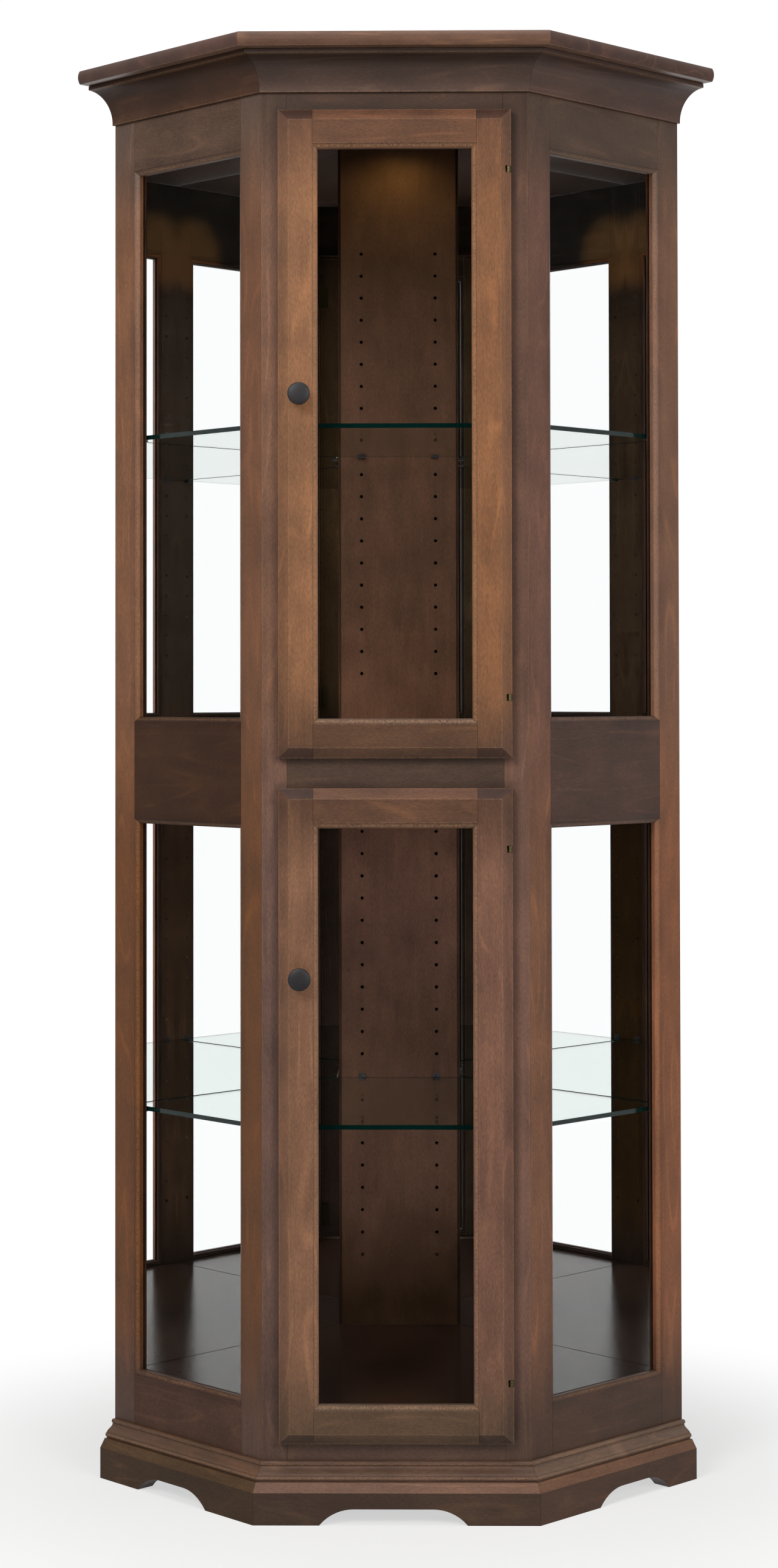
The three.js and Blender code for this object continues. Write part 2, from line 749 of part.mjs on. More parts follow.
function buildHinge(group, name, z) {
  const [top, bottom] = [z + knuckleHeight, z - knuckleHeight];
  const leafHalf = leafHeight / 2;
  const leafBack = frameFace + leafThickness;
  const frameLeaf = join(
    hingePillar(knuckleRadius, z + halfGap, top),
    hingePillar(hingePinRadius, bottom, z + knuckleHeight / 2),
    box(hingeX - armHalf, hingeX + armHalf, hingeAxisDepth, leafBack, z + halfGap, top),
    box(wrapLeft, hingeX + armHalf, frameFace, leafBack, z - leafHalf, z + leafHalf),
    box(wrapLeft, wrapLeft + leafThickness, frameFace, frameFace + wrapDepth, z - leafHalf, z + leafHalf),
  );
  const doorLeaf = join(
    hingePillar(knuckleRadius, bottom, z - halfGap),
    box(notchLeft + seatGap, doorLeafRight, hingeAxisDepth, stock, bottom, z - halfGap),
    doorLeafPlate(z, 0, 0),
  );
  const bore = hingePillar(hingePinRadius + hingePinClearance, bottom - overrun, z);
  add(group, `${name}_frame_leaf`, frameLeaf, brass);
  add(group, `${name}_door_leaf`, cut(doorLeaf, bore), brass);
}

function buildLight() {
  const y = centreFace - lightFromPanel;
  const bottom = frameTop - lightHeight;
  const seat = bottom + lensThickness + seatGap;
  const housing = [
    [0, seat], [lightRadius - lightRim, seat], [lightRadius - lightRim, bottom],
    [lightRadius - lightRim / 2, bottom], [lightRadius, bottom + lightRim / 2],
    [lightRadius, frameTop], [0, frameTop],
  ];
  const lensRadius = lightRadius - lightRim - seatGap;
  const lens = [
    [0, bottom], [lensRadius, bottom + lensThickness / 3],
    [lensRadius, bottom + lensThickness], [0, bottom + lensThickness],
  ];
  const round = (points) => new THREE.LatheGeometry(
    points.map(([r, h]) => new THREE.Vector2(r, h)), lightSteps).rotateX(Math.PI / 2);
  add(cabinet, 'light_housing', round(housing), lampPlastic).position.set(0, y, 0);
  add(cabinet, 'light_lens', round(lens), lampLens).position.set(0, y, 0);
}

buildTopBoard();
buildCrown();
buildBase();
buildMoulding();
buildFrontFrame();
sides.forEach(buildSideFrame);
buildBacks();
buildDecks();
buildShelves();
buildDoor('lower');
buildDoor('upper');
buildLight();

// The origin is under the middle of the cabinet's box.
for (const child of cabinet.children) child.position.y -= (bodyDepth - topBoardOverhang) / 2;

export default cabinet;
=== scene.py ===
# Corner curio cabinet in dark stained maple, with glazed doors and sides and mirrored backs.
# Everything is in metres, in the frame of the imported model: +X right, -Y front, +Z up.
import math

import bmesh
import bpy
import numpy as np
from mathutils import Matrix, Vector


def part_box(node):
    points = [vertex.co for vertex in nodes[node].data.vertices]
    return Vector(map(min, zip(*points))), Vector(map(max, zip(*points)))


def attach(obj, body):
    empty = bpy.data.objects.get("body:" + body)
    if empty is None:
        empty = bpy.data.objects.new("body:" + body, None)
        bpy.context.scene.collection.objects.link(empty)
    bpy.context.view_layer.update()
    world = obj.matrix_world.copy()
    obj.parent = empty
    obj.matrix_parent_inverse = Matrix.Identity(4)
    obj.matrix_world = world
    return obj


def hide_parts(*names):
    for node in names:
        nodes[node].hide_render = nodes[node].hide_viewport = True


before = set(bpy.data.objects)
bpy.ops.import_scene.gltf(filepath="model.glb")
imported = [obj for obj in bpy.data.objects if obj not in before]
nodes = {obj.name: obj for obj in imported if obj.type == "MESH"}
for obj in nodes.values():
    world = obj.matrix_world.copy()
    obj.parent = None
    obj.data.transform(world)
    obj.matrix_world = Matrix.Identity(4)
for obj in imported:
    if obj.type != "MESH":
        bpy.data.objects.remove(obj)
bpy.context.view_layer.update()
mm = 0.001

# Faces of the body. A point on a face is (along the face, depth into the cabinet, height).
frontHalf = 170.65 * mm
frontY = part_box("front_top_rail")[0].y
sideWidth = 295.7 * mm
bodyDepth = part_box("back_centre_panel")[1].y - frontY
turn = math.pi / 4
stock = 19 * mm
slope = math.cos(turn)


def faceMatrix(face):
    # turns a point on a face into the row frame; the left side is the right one mirrored
    if face == "front":
        return Matrix.Translation((0, frontY, 0))
    side = Matrix.Translation((frontHalf, frontY, 0)) @ Matrix.Rotation(turn, 4, "Z")
    return side if face == "right" else Matrix.Diagonal((-1, 1, 1, 1)) @ side


def linear(code):
    # sRGB hex to the linear colour that Blender's sockets take
    parts = [int(code[i:i + 2], 16) / 255 for i in (1, 3, 5)]
    return [p / 12.92 if p <= 0.04045 else ((p + 0.055) / 1.055) ** 2.4 for p in parts] + [1.0]


def addNode(tree, kind, settings=None, **links):
    # kind is the type without its leading ShaderNode, and settings are the node's own properties;
    # links go to inputs by name, a number n as input_n, and a node stands for its first output in use
    node = tree.nodes.new("ShaderNode" + kind)
    for key, value in (settings or {}).items():
        setattr(node, key, value)
    for key, value in links.items():
        socket = node.inputs[int(key[6:]) if key.startswith("input_") else key.replace("_", " ")]
        if isinstance(value, bpy.types.Node):
            value = next(output for output in value.outputs if output.enabled)
        if isinstance(value, bpy.types.NodeSocket):
            tree.links.new(value, socket)
        else:
            socket.default_value = value
    return node


# Settings that many nodes share
smooth = {"interpolation_type": "SMOOTHSTEP"}
blended = {"data_type": "RGBA"}
multiplied = {"data_type": "RGBA", "blend_type": "MULTIPLY"}
times, timesPlus, minus, absolute, larger, above, below, scaled = (
    {"operation": name} for name in
    ("MULTIPLY", "MULTIPLY_ADD", "SUBTRACT", "ABSOLUTE", "MAXIMUM", "GREATER_THAN", "LESS_THAN", "SCALE"))


def newMaterial(name):
    material = bpy.data.materials.new(name)
    material.use_nodes = True
    material.node_tree.nodes.clear()
    return material, material.node_tree


def newObject(name, data):
    thing = bpy.data.objects.new(name, data)
    bpy.context.scene.collection.objects.link(thing)
    return thing


# The photograph's camera
camera = {
    "place": (37.1 * mm, frontY - 3629 * mm, 1047.8 * mm),
    "yaw": -0.711, "pitch": 1.122, "roll": 0.095,  # degrees
    "focalPixels": 4680.5, "imageHeight": 2576, "shiftY": -0.094, "sensor": 36, "clipEnd": 50,
}


def makeCamera():
    data = bpy.data.cameras.new("camera")
    data.sensor_width = camera["sensor"]
    data.lens = camera["focalPixels"] * data.sensor_width / camera["imageHeight"]
    data.shift_y = camera["shiftY"]
    data.clip_end = camera["clipEnd"]
    view = newObject("camera", data)
    view.matrix_world = (
        Matrix.Translation(camera["place"])
        @ Matrix.Rotation(math.radians(-camera["yaw"]), 4, "Z")
        @ Matrix.Rotation(math.radians(90 + camera["pitch"]), 4, "X")
        @ Matrix.Rotation(math.radians(-camera["roll"]), 4, "Z"))
    bpy.context.scene.camera = view


makeCamera()
print("camera placed")

# Studio: a pale floor, a white surround for what the camera, mirrors and glass see
studio = {
    "surround": "#ffffff", "ambient": "#f4f6f8", "ambientLevel": 0.17,
    "floor": "#f6f5f3", "floorHalf": 4.0, "shadowRadius": 0.95, "shadowFade": 0.6, "whiteShare": 0.6,
    "lamps": {
        "key": {"at": (-1.7, -3.0, 2.9), "aim": (0, -0.1, 0.9), "size": 1.8, "power": 78},
        "fill": {"at": (2.0, -2.8, 1.8), "aim": (0, -0.1, 0.9), "size": 1.8, "power": 42},
        "top": {"at": (0.0, -0.8, 3.6), "aim": (0, 0, 1.2), "size": 1.6, "power": 24},
    },
}


def seenDirectly(tree):
    # 1 for rays from the camera, a mirror or glass; 0 for the rays that light the object
    path = addNode(tree, "LightPath")
    either = addNode(tree, "Math", larger, input_0=path.outputs["Is Camera Ray"],
                     input_1=path.outputs["Is Glossy Ray"])
    return addNode(tree, "Math", larger, input_0=either, input_1=path.outputs["Is Transmission Ray"])


def makeWorld():
    world = bpy.data.worlds.new("studio")
    bpy.context.scene.world = world
    world.use_nodes = True
    tree = world.node_tree
    tree.nodes.clear()
    light = addNode(tree, "Background", Color=linear(studio["ambient"]), Strength=studio["ambientLevel"])
    shown = addNode(tree, "Background", Color=linear(studio["surround"]))
    mix = addNode(tree, "MixShader", input_0=seenDirectly(tree), input_1=light, input_2=shown)
    addNode(tree, "OutputWorld", Surface=mix)


def aimed(name, data, at, aim):
    # a lamp at one point that looks at another
    holder = newObject(name, data)
    holder.location = at
    holder.rotation_euler = (Vector(aim) - Vector(at)).to_track_quat("-Z", "Y").to_euler()
    return holder


def makeLamps():
    for name, lamp in studio["lamps"].items():
        data = bpy.data.lights.new(name, "AREA")
        data.shape, data.size, data.energy = "DISK", lamp["size"], lamp["power"]
        aimed(name, data, lamp["at"], lamp["aim"])


def staged(name, corners, faces, material):
    # a flat thing of the studio, which isn't part of the cabinet
    mesh = bpy.data.meshes.new(name)
    mesh.from_pydata(corners, [], faces)
    mesh.materials.append(material)
    thing = newObject(name, mesh)
    return thing


def makeFloor():
    # white to the eye far from the cabinet, and partly so near it, where it keeps the shadow
    material, tree = newMaterial("pale painted floor")
    reach = addNode(tree, "VectorMath", {"operation": "LENGTH"},
                    input_0=addNode(tree, "TexCoord").outputs["Object"])
    away = addNode(tree, "MapRange", smooth, Value=reach, From_Max=studio["shadowRadius"],
                   From_Min=studio["shadowRadius"] - studio["shadowFade"], To_Min=studio["whiteShare"])
    shown = addNode(tree, "Math", times, input_0=away, input_1=seenDirectly(tree))
    paint = addNode(tree, "BsdfDiffuse", Color=linear(studio["floor"]))
    white = addNode(tree, "Emission", Color=linear(studio["surround"]))
    mix = addNode(tree, "MixShader", input_0=shown, input_1=paint, input_2=white)
    addNode(tree, "OutputMaterial", Surface=mix)
    half = studio["floorHalf"]
    staged("floor", [(-half, -half, 0), (half, -half, 0), (half, half, 0), (-half, half, 0)],
           [(0, 1, 2, 3)], material)


# A dark card behind the camera and a dark wedge on the floor, seen only in glass, mirrors and lacquer
card = {"felt": "#0c0c0d", "ends": (-0.26, 0.24), "heights": (0.001, 2.8), "behind": 3.95,
        "foot": 0.6, "footHalf": 0.15, "fade": (1.05, 0.65)}


def makeCard():
    # the wedge runs towards the cabinet and fades to white
    material, tree = newMaterial("dark felt")
    felt = addNode(tree, "BsdfDiffuse", Color=linear(card["felt"]))
    white = addNode(tree, "Emission", Color=linear(studio["surround"]))
    spot = addNode(tree, "SeparateXYZ", Vector=addNode(tree, "TexCoord").outputs["Object"])
    near = addNode(tree, "MapRange", smooth, Value=spot.outputs["Y"],
                   From_Min=-card["fade"][0], From_Max=-card["fade"][1])
    mix = addNode(tree, "MixShader", input_0=near, input_1=felt, input_2=white)
    addNode(tree, "OutputMaterial", Surface=mix)
    (left, right), (low, high), y = card["ends"], card["heights"], -card["behind"]
    foot, half = -card["foot"], card["footHalf"]
    corners = [(left, y, low), (right, y, low), (right, y, high), (left, y, high),
               (half, foot, low), (-half, foot, low)]
    piece = staged("dark card", corners, [(0, 1, 2, 3), (0, 5, 4, 1)], material)
    piece.visible_camera = piece.visible_shadow = piece.visible_diffuse = False


bpy.context.scene.view_settings.view_transform = "Standard"
makeWorld()
makeLamps()
makeFloor()
makeCard()
print("studio lit")

# Wood: maple under a dark wiping stain and a satin lacquer. The stain sits in blotches and is worn
# thin on the edges, the grain shows as fine streaks, and flat-sawn boards have pale contour lines.
# Painted into the colour as well: shade in creases, recesses, under overhangs and inside the cabinet, light
# on faces that look up, and highlights on the arrises.
grainSizes = {  # millimetres along and across the grain, and detail
    "blotch": (70, 20, 3), "streak": (120, 3.0, 3), "fibre": (5, 0.9, 3),
    "figure": (420, 60, 1), "cloud": (60, 60, 1), "speck": (1.8, 2.8, 2),
}
wood = {
    "blotchWeight": 0.62, "streakWeight": 0.2, "fibreWeight": 1.1, "seedStep": 7.31,
    "darkShade": 0.5, "lightShade": 1.6, "warmShade": (1.05, 1.0, 0.92), "rampStops": (0.05, 0.5, 0.95),
    "figure": 0.25, "figureLines": 9, "figureWidth": 0.16,
    "figurePatch": {"From_Min": 0.42, "From_Max": 0.62},
    "mood": (0.84, 1.14), "moodSize": 90, "change": (0.8, 1.1), "haze": 0.55, "detail": 0.55,
    # colours for painted shade, painted light, worn and highlit arrises, and painted shade in the pin holes
    "smoke": (0.42, 0.39, 0.42), "pale": (1.6, 1.5, 1.42), "rubbed": "#a98362", "bore": "#1d130e",
    "endGrain": (0.6, 0.57, 0.66), "endTurn": {"From_Min": 0.2, "From_Max": 0.4},
    # the cool tint of the painted shade inside the cabinet, and the plywood's tone range behind
    "inside": (0.85, 1.2, 1.5), "behind": (0.5, 1.5),
    "roughness": (0.36, 0.5), "specular": 0.22, "bump": 0.5, "bumpDepth": 0.12,
}
usual = {"From_Min": 0.3, "From_Max": 0.7}  # where most of a noise lies
patchy = {"From_Min": 0.35, "From_Max": 0.65}  # the same, with bare and whole spots
# the axis of a face's normal, where the shade of a side begins and where it is whole
sides = {"up": ("Z", 0.15, 0.3), "inside": ("Y", 0.5, 0.9), "under": ("Z", -0.9, -0.98)}


def nearEdge(tree, spot, rectangle, distance, halfWidth, strength):
    # a smooth line round a rectangle on the face: the greater of how far a point is past it
    # sideways and past it in height, less the line's own distance outside
    left, right, low, high = rectangle
    field = None
    for axis, near, far in ((0, left, right), (2, low, high)):
        offset = addNode(tree, "Math", minus, input_0=spot.outputs[axis], input_1=(near + far) / 2)
        size = addNode(tree, "Math", absolute, input_0=offset)
        past = addNode(tree, "Math", minus, input_0=size, input_1=(far - near) / 2 + distance)
        field = past if field is None else addNode(tree, "Math", larger, input_0=field, input_1=past)
    away = addNode(tree, "Math", absolute, input_0=field)
    return addNode(tree, "MapRange", smooth, Value=away, From_Max=halfWidth, To_Min=strength, To_Max=0.0)


def looking(tree, board, side):
    # 1 for faces that look to a side, 0 for the others
    axis, start, whole = sides[side]
    return addNode(tree, "MapRange", Value=board["normal"].outputs[axis], From_Min=start, From_Max=whole)


def boardFrame(tree, look):
    # the point and the normal in the face's own frame, and the noises that follow the grain
    coords = addNode(tree, "TexCoord")
    toFace = {"Rotation": (0, 0, 0 if look["face"] == "front" else -turn),
              "Scale": (-1 if look["face"] == "left" else 1, 1, 1)}
    place = addNode(tree, "Mapping", {"vector_type": "POINT"}, Vector=coords.outputs["Object"],
                    Location=faceMatrix(look["face"]).inverted().to_translation(), **toFace)
    facing = addNode(tree, "Mapping", {"vector_type": "VECTOR"}, Vector=coords.outputs["Normal"], **toFace)
    board = {"place": place, "spot": addNode(tree, "SeparateXYZ", Vector=place),
             "normal": addNode(tree, "SeparateXYZ", Vector=facing)}
    for index, (key, (along, across, detail)) in enumerate(grainSizes.items()):
        pitch = [1 / (across * mm)] * 3
        pitch["xyz".index(look["grain"])] = 1 / (along * mm)
        stretch = addNode(tree, "Mapping", Vector=place, Scale=pitch)
        board[key] = addNode(tree, "TexNoise", {"noise_dimensions": "4D"}, Vector=stretch, Scale=1.0,
                             Detail=detail, Roughness=wood["detail"],
                             W=look["seed"] * wood["seedStep"] + index)
    # a slow change of tone that runs on from board to board
    slow = addNode(tree, "TexNoise", Vector=coords.outputs["Object"], Scale=1 / (wood["moodSize"] * mm))
    low, high = wood["mood"]
    board["mood"] = addNode(tree, "MapRange", Value=slow, To_Min=low, To_Max=high, **usual)
    board["inside"] = looking(tree, board, "inside")
    return board


def stainLevel(tree, look, board):
    # how strongly the wood shows: blotches, streaks, fibre, and contour lines like growth rings
    level = 0.5
    for key in ("blotch", "streak", "fibre"):
        centred = addNode(tree, "Math", minus, input_0=board[key], input_1=0.5)
        weight = wood[key + "Weight"] * look.get("contrast", 1.0) * look.get(key, 1.0)
        level = addNode(tree, "Math", timesPlus, input_0=centred, input_1=weight, input_2=level)
    rings = addNode(tree, "Math", times, input_0=board["figure"], input_1=wood["figureLines"])
    ring = addNode(tree, "Math", {"operation": "PINGPONG"}, input_0=rings, input_1=0.5)
    line = addNode(tree, "MapRange", smooth, Value=ring, From_Max=wood["figureWidth"], To_Min=1.0, To_Max=0.0)
    patch = addNode(tree, "MapRange", Value=board["cloud"], **wood["figurePatch"])
    shown = addNode(tree, "Math", times, input_0=line, input_1=patch)
    strength = look.get("figure", wood["figure"])
    return addNode(tree, "Math", timesPlus, input_0=shown, input_1=strength, input_2=level)


def stainColour(tree, look, board, level):
    # a ramp from dark to light for each stain; the first is the upper part's
    ramps = []
    for code in look["stain"]:
        tone = np.array(linear(code)[:3])
        ramps.append(addNode(tree, "ValToRGB", Fac=level))
        stops = ramps[-1].color_ramp.elements
        stops.new(0.5)
        shades = [tone * wood["darkShade"], tone, tone * wood["lightShade"] * np.array(wood["warmShade"])]
        for stop, position, shade in zip(stops, wood["rampStops"], shades):
            stop.position = position
            stop.color = (*shade, 1)
    if len(ramps) == 1:
        return ramps[0]
    low, high = look.get("change", wood["change"])
    up = addNode(tree, "MapRange", smooth, Value=board["spot"].outputs["Z"], From_Min=low, From_Max=high)
    return addNode(tree, "Mix", blended, Factor=up, input_6=ramps[1], input_7=ramps[0])


def boardShades(tree, look, board):
    # where the colour is darker or paler, by stain, painted shade and painted light, and the colour that
    # multiplies it there
    along = addNode(tree, "Math", absolute, input_0=board["normal"].outputs["xyz".index(look["grain"])])
    ends = addNode(tree, "MapRange", Value=along, **wood["endTurn"])
    shades = [(ends, wood["endGrain"])]  # end grain drinks more stain, at the ends of bevels too
    if "bevelShade" in look:  # painted light on the bevel that looks up
        shades.append((looking(tree, board, "up"), look["bevelShade"]))
    # painted shade: faces that look into the cabinet are darker and cooler
    shades.append((board["inside"], look.get("inside", 1.0) * np.array(wood["inside"])))
    # painted shade and painted light along lines, broken up in soft patches
    hazy = addNode(tree, "MapRange", Value=board["cloud"], To_Min=look.get("haze", wood["haze"]), **patchy)
    lines = [(line, look.get("smoke", wood["smoke"])) for line in look.get("smoked", [])]
    lines += [(line, wood["pale"]) for line in look.get("paled", [])]
    for line, shade in lines:
        share = addNode(tree, "Math", times, input_0=nearEdge(tree, board["spot"], *line), input_1=hazy)
        shades.append((share, shade))
    # a stile's end is stained with the rail that it meets
    return shades + [(nearEdge(tree, board["spot"], *line), shade) for line, shade in look.get("ends", [])]


def boredHoles(tree, look, board):
    # 1 where the pin holes get painted shade: faces square to the hole and past a depth on one side, and
    # a painted dark disc for each of the lowest holes, which the solids don't have
    depth, sign = look["bored"]
    aligned = addNode(tree, "Math", times, input_0=board["normal"].outputs["Y"], input_1=sign)
    flat = addNode(tree, "Math", above, input_0=aligned, input_1=sides["inside"][2])
    signed = addNode(tree, "Math", times, input_0=board["spot"].outputs["Y"], input_1=sign)
    sunk = addNode(tree, "Math", below, input_0=signed, input_1=sign * depth)
    hollow = addNode(tree, "Math", times, input_0=flat, input_1=sunk)
    for at in look["drawn"]:
        away = addNode(tree, "VectorMath", {"operation": "DISTANCE"}, input_0=board["place"], input_1=at)
        disc = addNode(tree, "Math", below, input_0=away, input_1=pinHole["radius"])
        hollow = addNode(tree, "Math", larger, input_0=hollow, input_1=disc)
    return hollow


def stainedMaple(name, look):
    # satin maple with soft blotches and fine streaks under its stain, with painted shade and painted light on
    # it. Lines of wear and painted highlight, of painted shade and of painted light are each (rectangle on
    # the face, distance outside it, half width, strength)
    material, tree = newMaterial(name)
    board = boardFrame(tree, look)
    level = stainLevel(tree, look, board)
    colour = stainColour(tree, look, board, level)
    # end grain, the stile ends' tone, painted light and painted shade multiply the stain
    for share, shade in boardShades(tree, look, board):
        colour = addNode(tree, "Mix", multiplied, Factor=share, input_6=colour, input_7=(*shade, 1))
    colour = addNode(tree, "VectorMath", scaled, input_0=colour, Scale=board["mood"])

    broken = addNode(tree, "MapRange", Value=board["speck"], **patchy)
    # arrises lightened where the stain is worn through, and by painted highlight where they catch the light
    for line in look.get("rubbed", []):
        worn = addNode(tree, "Math", times, input_0=nearEdge(tree, board["spot"], *line), input_1=broken)
        colour = addNode(tree, "Mix", blended, Factor=worn, input_6=colour, input_7=linear(wood["rubbed"]))
    if "bored" in look:  # painted shade at the bottom of the pin holes
        colour = addNode(tree, "Mix", blended, Factor=boredHoles(tree, look, board), input_6=colour,
                         input_7=linear(wood["bore"]))
    if "behind" in look:  # the face that looks at the wall has the plain stain of the plywood
        plain = addNode(tree, "MapRange", Value=level, To_Min=wood["behind"][0], To_Max=wood["behind"][1])
        outer = addNode(tree, "VectorMath", scaled, input_0=linear(look["behind"])[:3], Scale=plain)
        colour = addNode(tree, "Mix", blended, Factor=board["inside"], input_6=colour, input_7=outer)

    smoothest, roughest = [value * look.get("polish", 1) for value in wood["roughness"]]
    gloss = addNode(tree, "MapRange", Value=board["streak"], To_Min=smoothest, To_Max=roughest, **usual)
    sheen = look.get("specular", wood["specular"])
    changes = [(board["inside"], 0.0)] if "inside" in look else []  # the inside was sealed, not polished
    if "underside" in look:  # painted shade on faces that look down, which also have a smoother lacquer with more sheen
        under = looking(tree, board, "under")
        colour = addNode(tree, "Mix", multiplied, Factor=under, input_6=colour, input_7=(*wood["smoke"], 1))
        gloss = addNode(tree, "Mix", Factor=under, input_2=gloss, input_3=look["underside"][0])
        changes.append((under, look["underside"][1]))
    bump = addNode(tree, "Bump", Height=board["fibre"], Strength=wood["bump"] * look.get("bump", 1),
                   Distance=wood["bumpDepth"] * mm)
    skin = addNode(tree, "BsdfPrincipled", Base_Color=colour, Roughness=gloss, Normal=bump,
                   Specular_IOR_Level=sheen)
    for where, changed in changes:
        varied = addNode(tree, "MapRange", Value=where, To_Min=sheen, To_Max=changed)
        tree.links.new(varied.outputs[0], skin.inputs["Specular IOR Level"])
    addNode(tree, "OutputMaterial", Surface=skin)
    return material


# Sizes on the faces, which repeat the cabinet's own
doorHalf, doorMember, lip, doorBevel = 148.5 * mm, 50.5 * mm, 6.5 * mm, 13.5 * mm
doorHeights = {"lower": (98.8 * mm, 926.1 * mm), "upper": (964.2 * mm, 1790.5 * mm)}
doorEnds = (doorMember - doorHalf, doorHalf - doorMember)
doorOpenings = {level: (*doorEnds, low + doorMember, high - doorMember)
                for level, (low, high) in doorHeights.items()}
windowEnds = (46 * mm, sideWidth - 47.1 * mm)
windows = {"lower": (*windowEnds, 146.7 * mm, 873.6 * mm), "upper": (*windowEnds, 1015.8 * mm, 1741.4 * mm)}
topZ, boardThickness, crownHeight = 1880.3 * mm, 18 * mm, 47.4 * mm
seatGap = 0.3  # millimetres
frameTop = topZ - boardThickness - seatGap * mm
crownBottom = frameTop - crownHeight
panelHalf, panelFace = 83.7 * mm, bodyDepth - 16 * mm
pinHole = {"onPanel": 53.5 * mm, "pastLip": 10 * mm, "lowest": 239 * mm, "radius": 2.6 * mm, "skin": 0.5 * mm}
sidePins = {"front_stile": windowEnds[0] - lip - pinHole["pastLip"],
            "rear_stile": windowEnds[1] + lip + pinHole["pastLip"]}
wide = 2.0  # past the ends of any face, and just above the cabinet

# How strongly wear and painted highlight lighten, and painted shade darkens, the edges of the doors, windows
# and frames
# how dark the painted shade leaves the faces that look into the cabinet
insideShade = {"front": 0.4, "side": 0.42}
arris, softArris = 0.9 * mm, 1.2 * mm
# painted shade on the front frame, along its outer edges and round each door
doorRubs, doorSmoke, frameSmoke = {}, {}, [((-frontHalf, frontHalf, -wide, wide), -4 * mm, 6 * mm, 0.3)]
for level, (low, high) in doorHeights.items():
    opening, outside = doorOpenings[level], (-doorHalf, doorHalf, low, high)
    # wear and painted highlight on the door's bead and arrises
    doorRubs[level] = [
        (opening, 3.6 * mm, 3.4 * mm, 0.5), (opening, lip + 0.6 * mm, arris, 0.3),
        (outside, -doorBevel, 1.1 * mm, 0.3), (outside, -0.4 * mm, arris, 0.3)]
    # painted shade at the door's opening, in the groove at the lip and along its outer bevel
    doorSmoke[level] = [
        (opening, 0.0, softArris, 0.6), (opening, lip, 1.6 * mm, 0.6), (outside, -3 * mm, 16 * mm, 0.6)]
    frameSmoke.append((outside, 0.0, 12 * mm, 0.5))
# wear and painted highlight round the side windows and along the front edge of each side
windowRubs = [(window, 2.8 * mm, 2.6 * mm, 0.28) for window in windows.values()]
windowRubs.append(((0, wide, -wide, wide), 0, softArris, 0.15))
# painted shade along the side windows and in the groove at the lip
windowSmoke = [(window, *line) for window in windows.values()
               for line in ((9 * mm, 12 * mm, 0.35), (lip, 1.1 * mm, 0.7))]
cabinetEnds = (frameTop - 47 * mm, 75 * mm, 190 * mm)  # where a stile's ends change tone, and how slowly
doorEndReach = 130 * mm
duller = {"rail": 0.08, "crown": 0.08, "base": 0.1}  # gloss of the left boards, which face the key lamp
# painted light on the bevels that look up, on the doors' top rails and the base boards
railTopBevel = (1.55, 1.5, 1.5)
baseBevels = {"front": (3.2, 3.0, 3.1), "left": (1.5, 1.45, 1.25), "right": (2.3, 2.35, 2.4)}
# painted shade on the centre panel: graded towards the deck at 130 mm, near its top, and in a band around 560
# mm over the lower shelf
panelSmoke = ((130, 640, 1.0), (130, 330, 1.0), (130, 170, 0.8), (560, 230, 0.9))  # height, reach, strength

# Stains, as they are on the upper part and, where it differs, on the lower part of a board
stains = {
    "top_board": ["#5d4233"], "front_stile_left": ["#72513e", "#644b41"],
    "front_stile_right": ["#5c4134", "#6e5043"], "front_bottom_rail": ["#513c31"],
    "front_mid_rail": ["#4b382c"], "front_top_rail": ["#3f2c20"],
    "back_centre_panel": ["#543c2e", "#755649"], "bottom_deck": ["#261912"], "mid_deck": ["#261912"],
    "left_front_stile": ["#6b462f", "#603a1b"], "left_rear_stile": ["#785036", "#653b19"],
    "right_front_stile": ["#664639", "#714c37"], "right_rear_stile": ["#714f3c", "#805136"],
    "left_bottom_rail": ["#4e372c"], "left_mid_rail": ["#3d2719"], "left_top_rail": ["#574337"],
    "right_bottom_rail": ["#463023"], "right_mid_rail": ["#453027"], "right_top_rail": ["#4e3b2e"],
    "crown_front": ["#44342c"], "base_moulding_front": ["#5e4639"], "crown_left": ["#412d22"],
    "base_moulding_left": ["#5c412f"], "crown_right": ["#49352d"], "base_moulding_right": ["#685243"],
    "base_board_front": ["#3e2d22"], "base_board_left": ["#423123"], "base_board_right": ["#462f21"],
    "lower_door_stile_left": ["#795640"], "lower_door_stile_right": ["#704e3e"],
    "lower_door_rail_top": ["#583c2b"], "lower_door_rail_bottom": ["#55402f"],
    "upper_door_stile_left": ["#7e573b"], "upper_door_stile_right": ["#7b5235"],
    "upper_door_rail_top": ["#5b3c29"], "upper_door_rail_bottom": ["#523827"],
}
boards = {}


def levelLine(height, halfWidth, strength):
    # a line across the whole of a face
    return (-wide, wide, -wide, height), 0, halfWidth, strength


def twoLines(height, halfWidth, strength):
    # the same, and one just above the cabinet, which reaches down over the top of the face
    return (-wide, wide, height, wide), 0, halfWidth, strength


def cut(name, face, grain, **more):
    boards[name] = {"stain": stains[name], "face": face, "grain": grain, **more}


def joined(stile, high, low, top, bottom, reach):
    # shades that bring a stile's upper and lower end to the stain of its rails
    own = [np.array(linear(code)[:3]) for code in (stains[stile][0], stains[stile][-1])]
    rails = [np.array(linear(stains[rail][0])[:3]) for rail in (high, low)]
    lines = levelLine(top, reach, 1.0), twoLines(bottom, reach, 1.0)
    return [(line, rail / tone) for line, rail, tone in zip(lines, rails, own)]


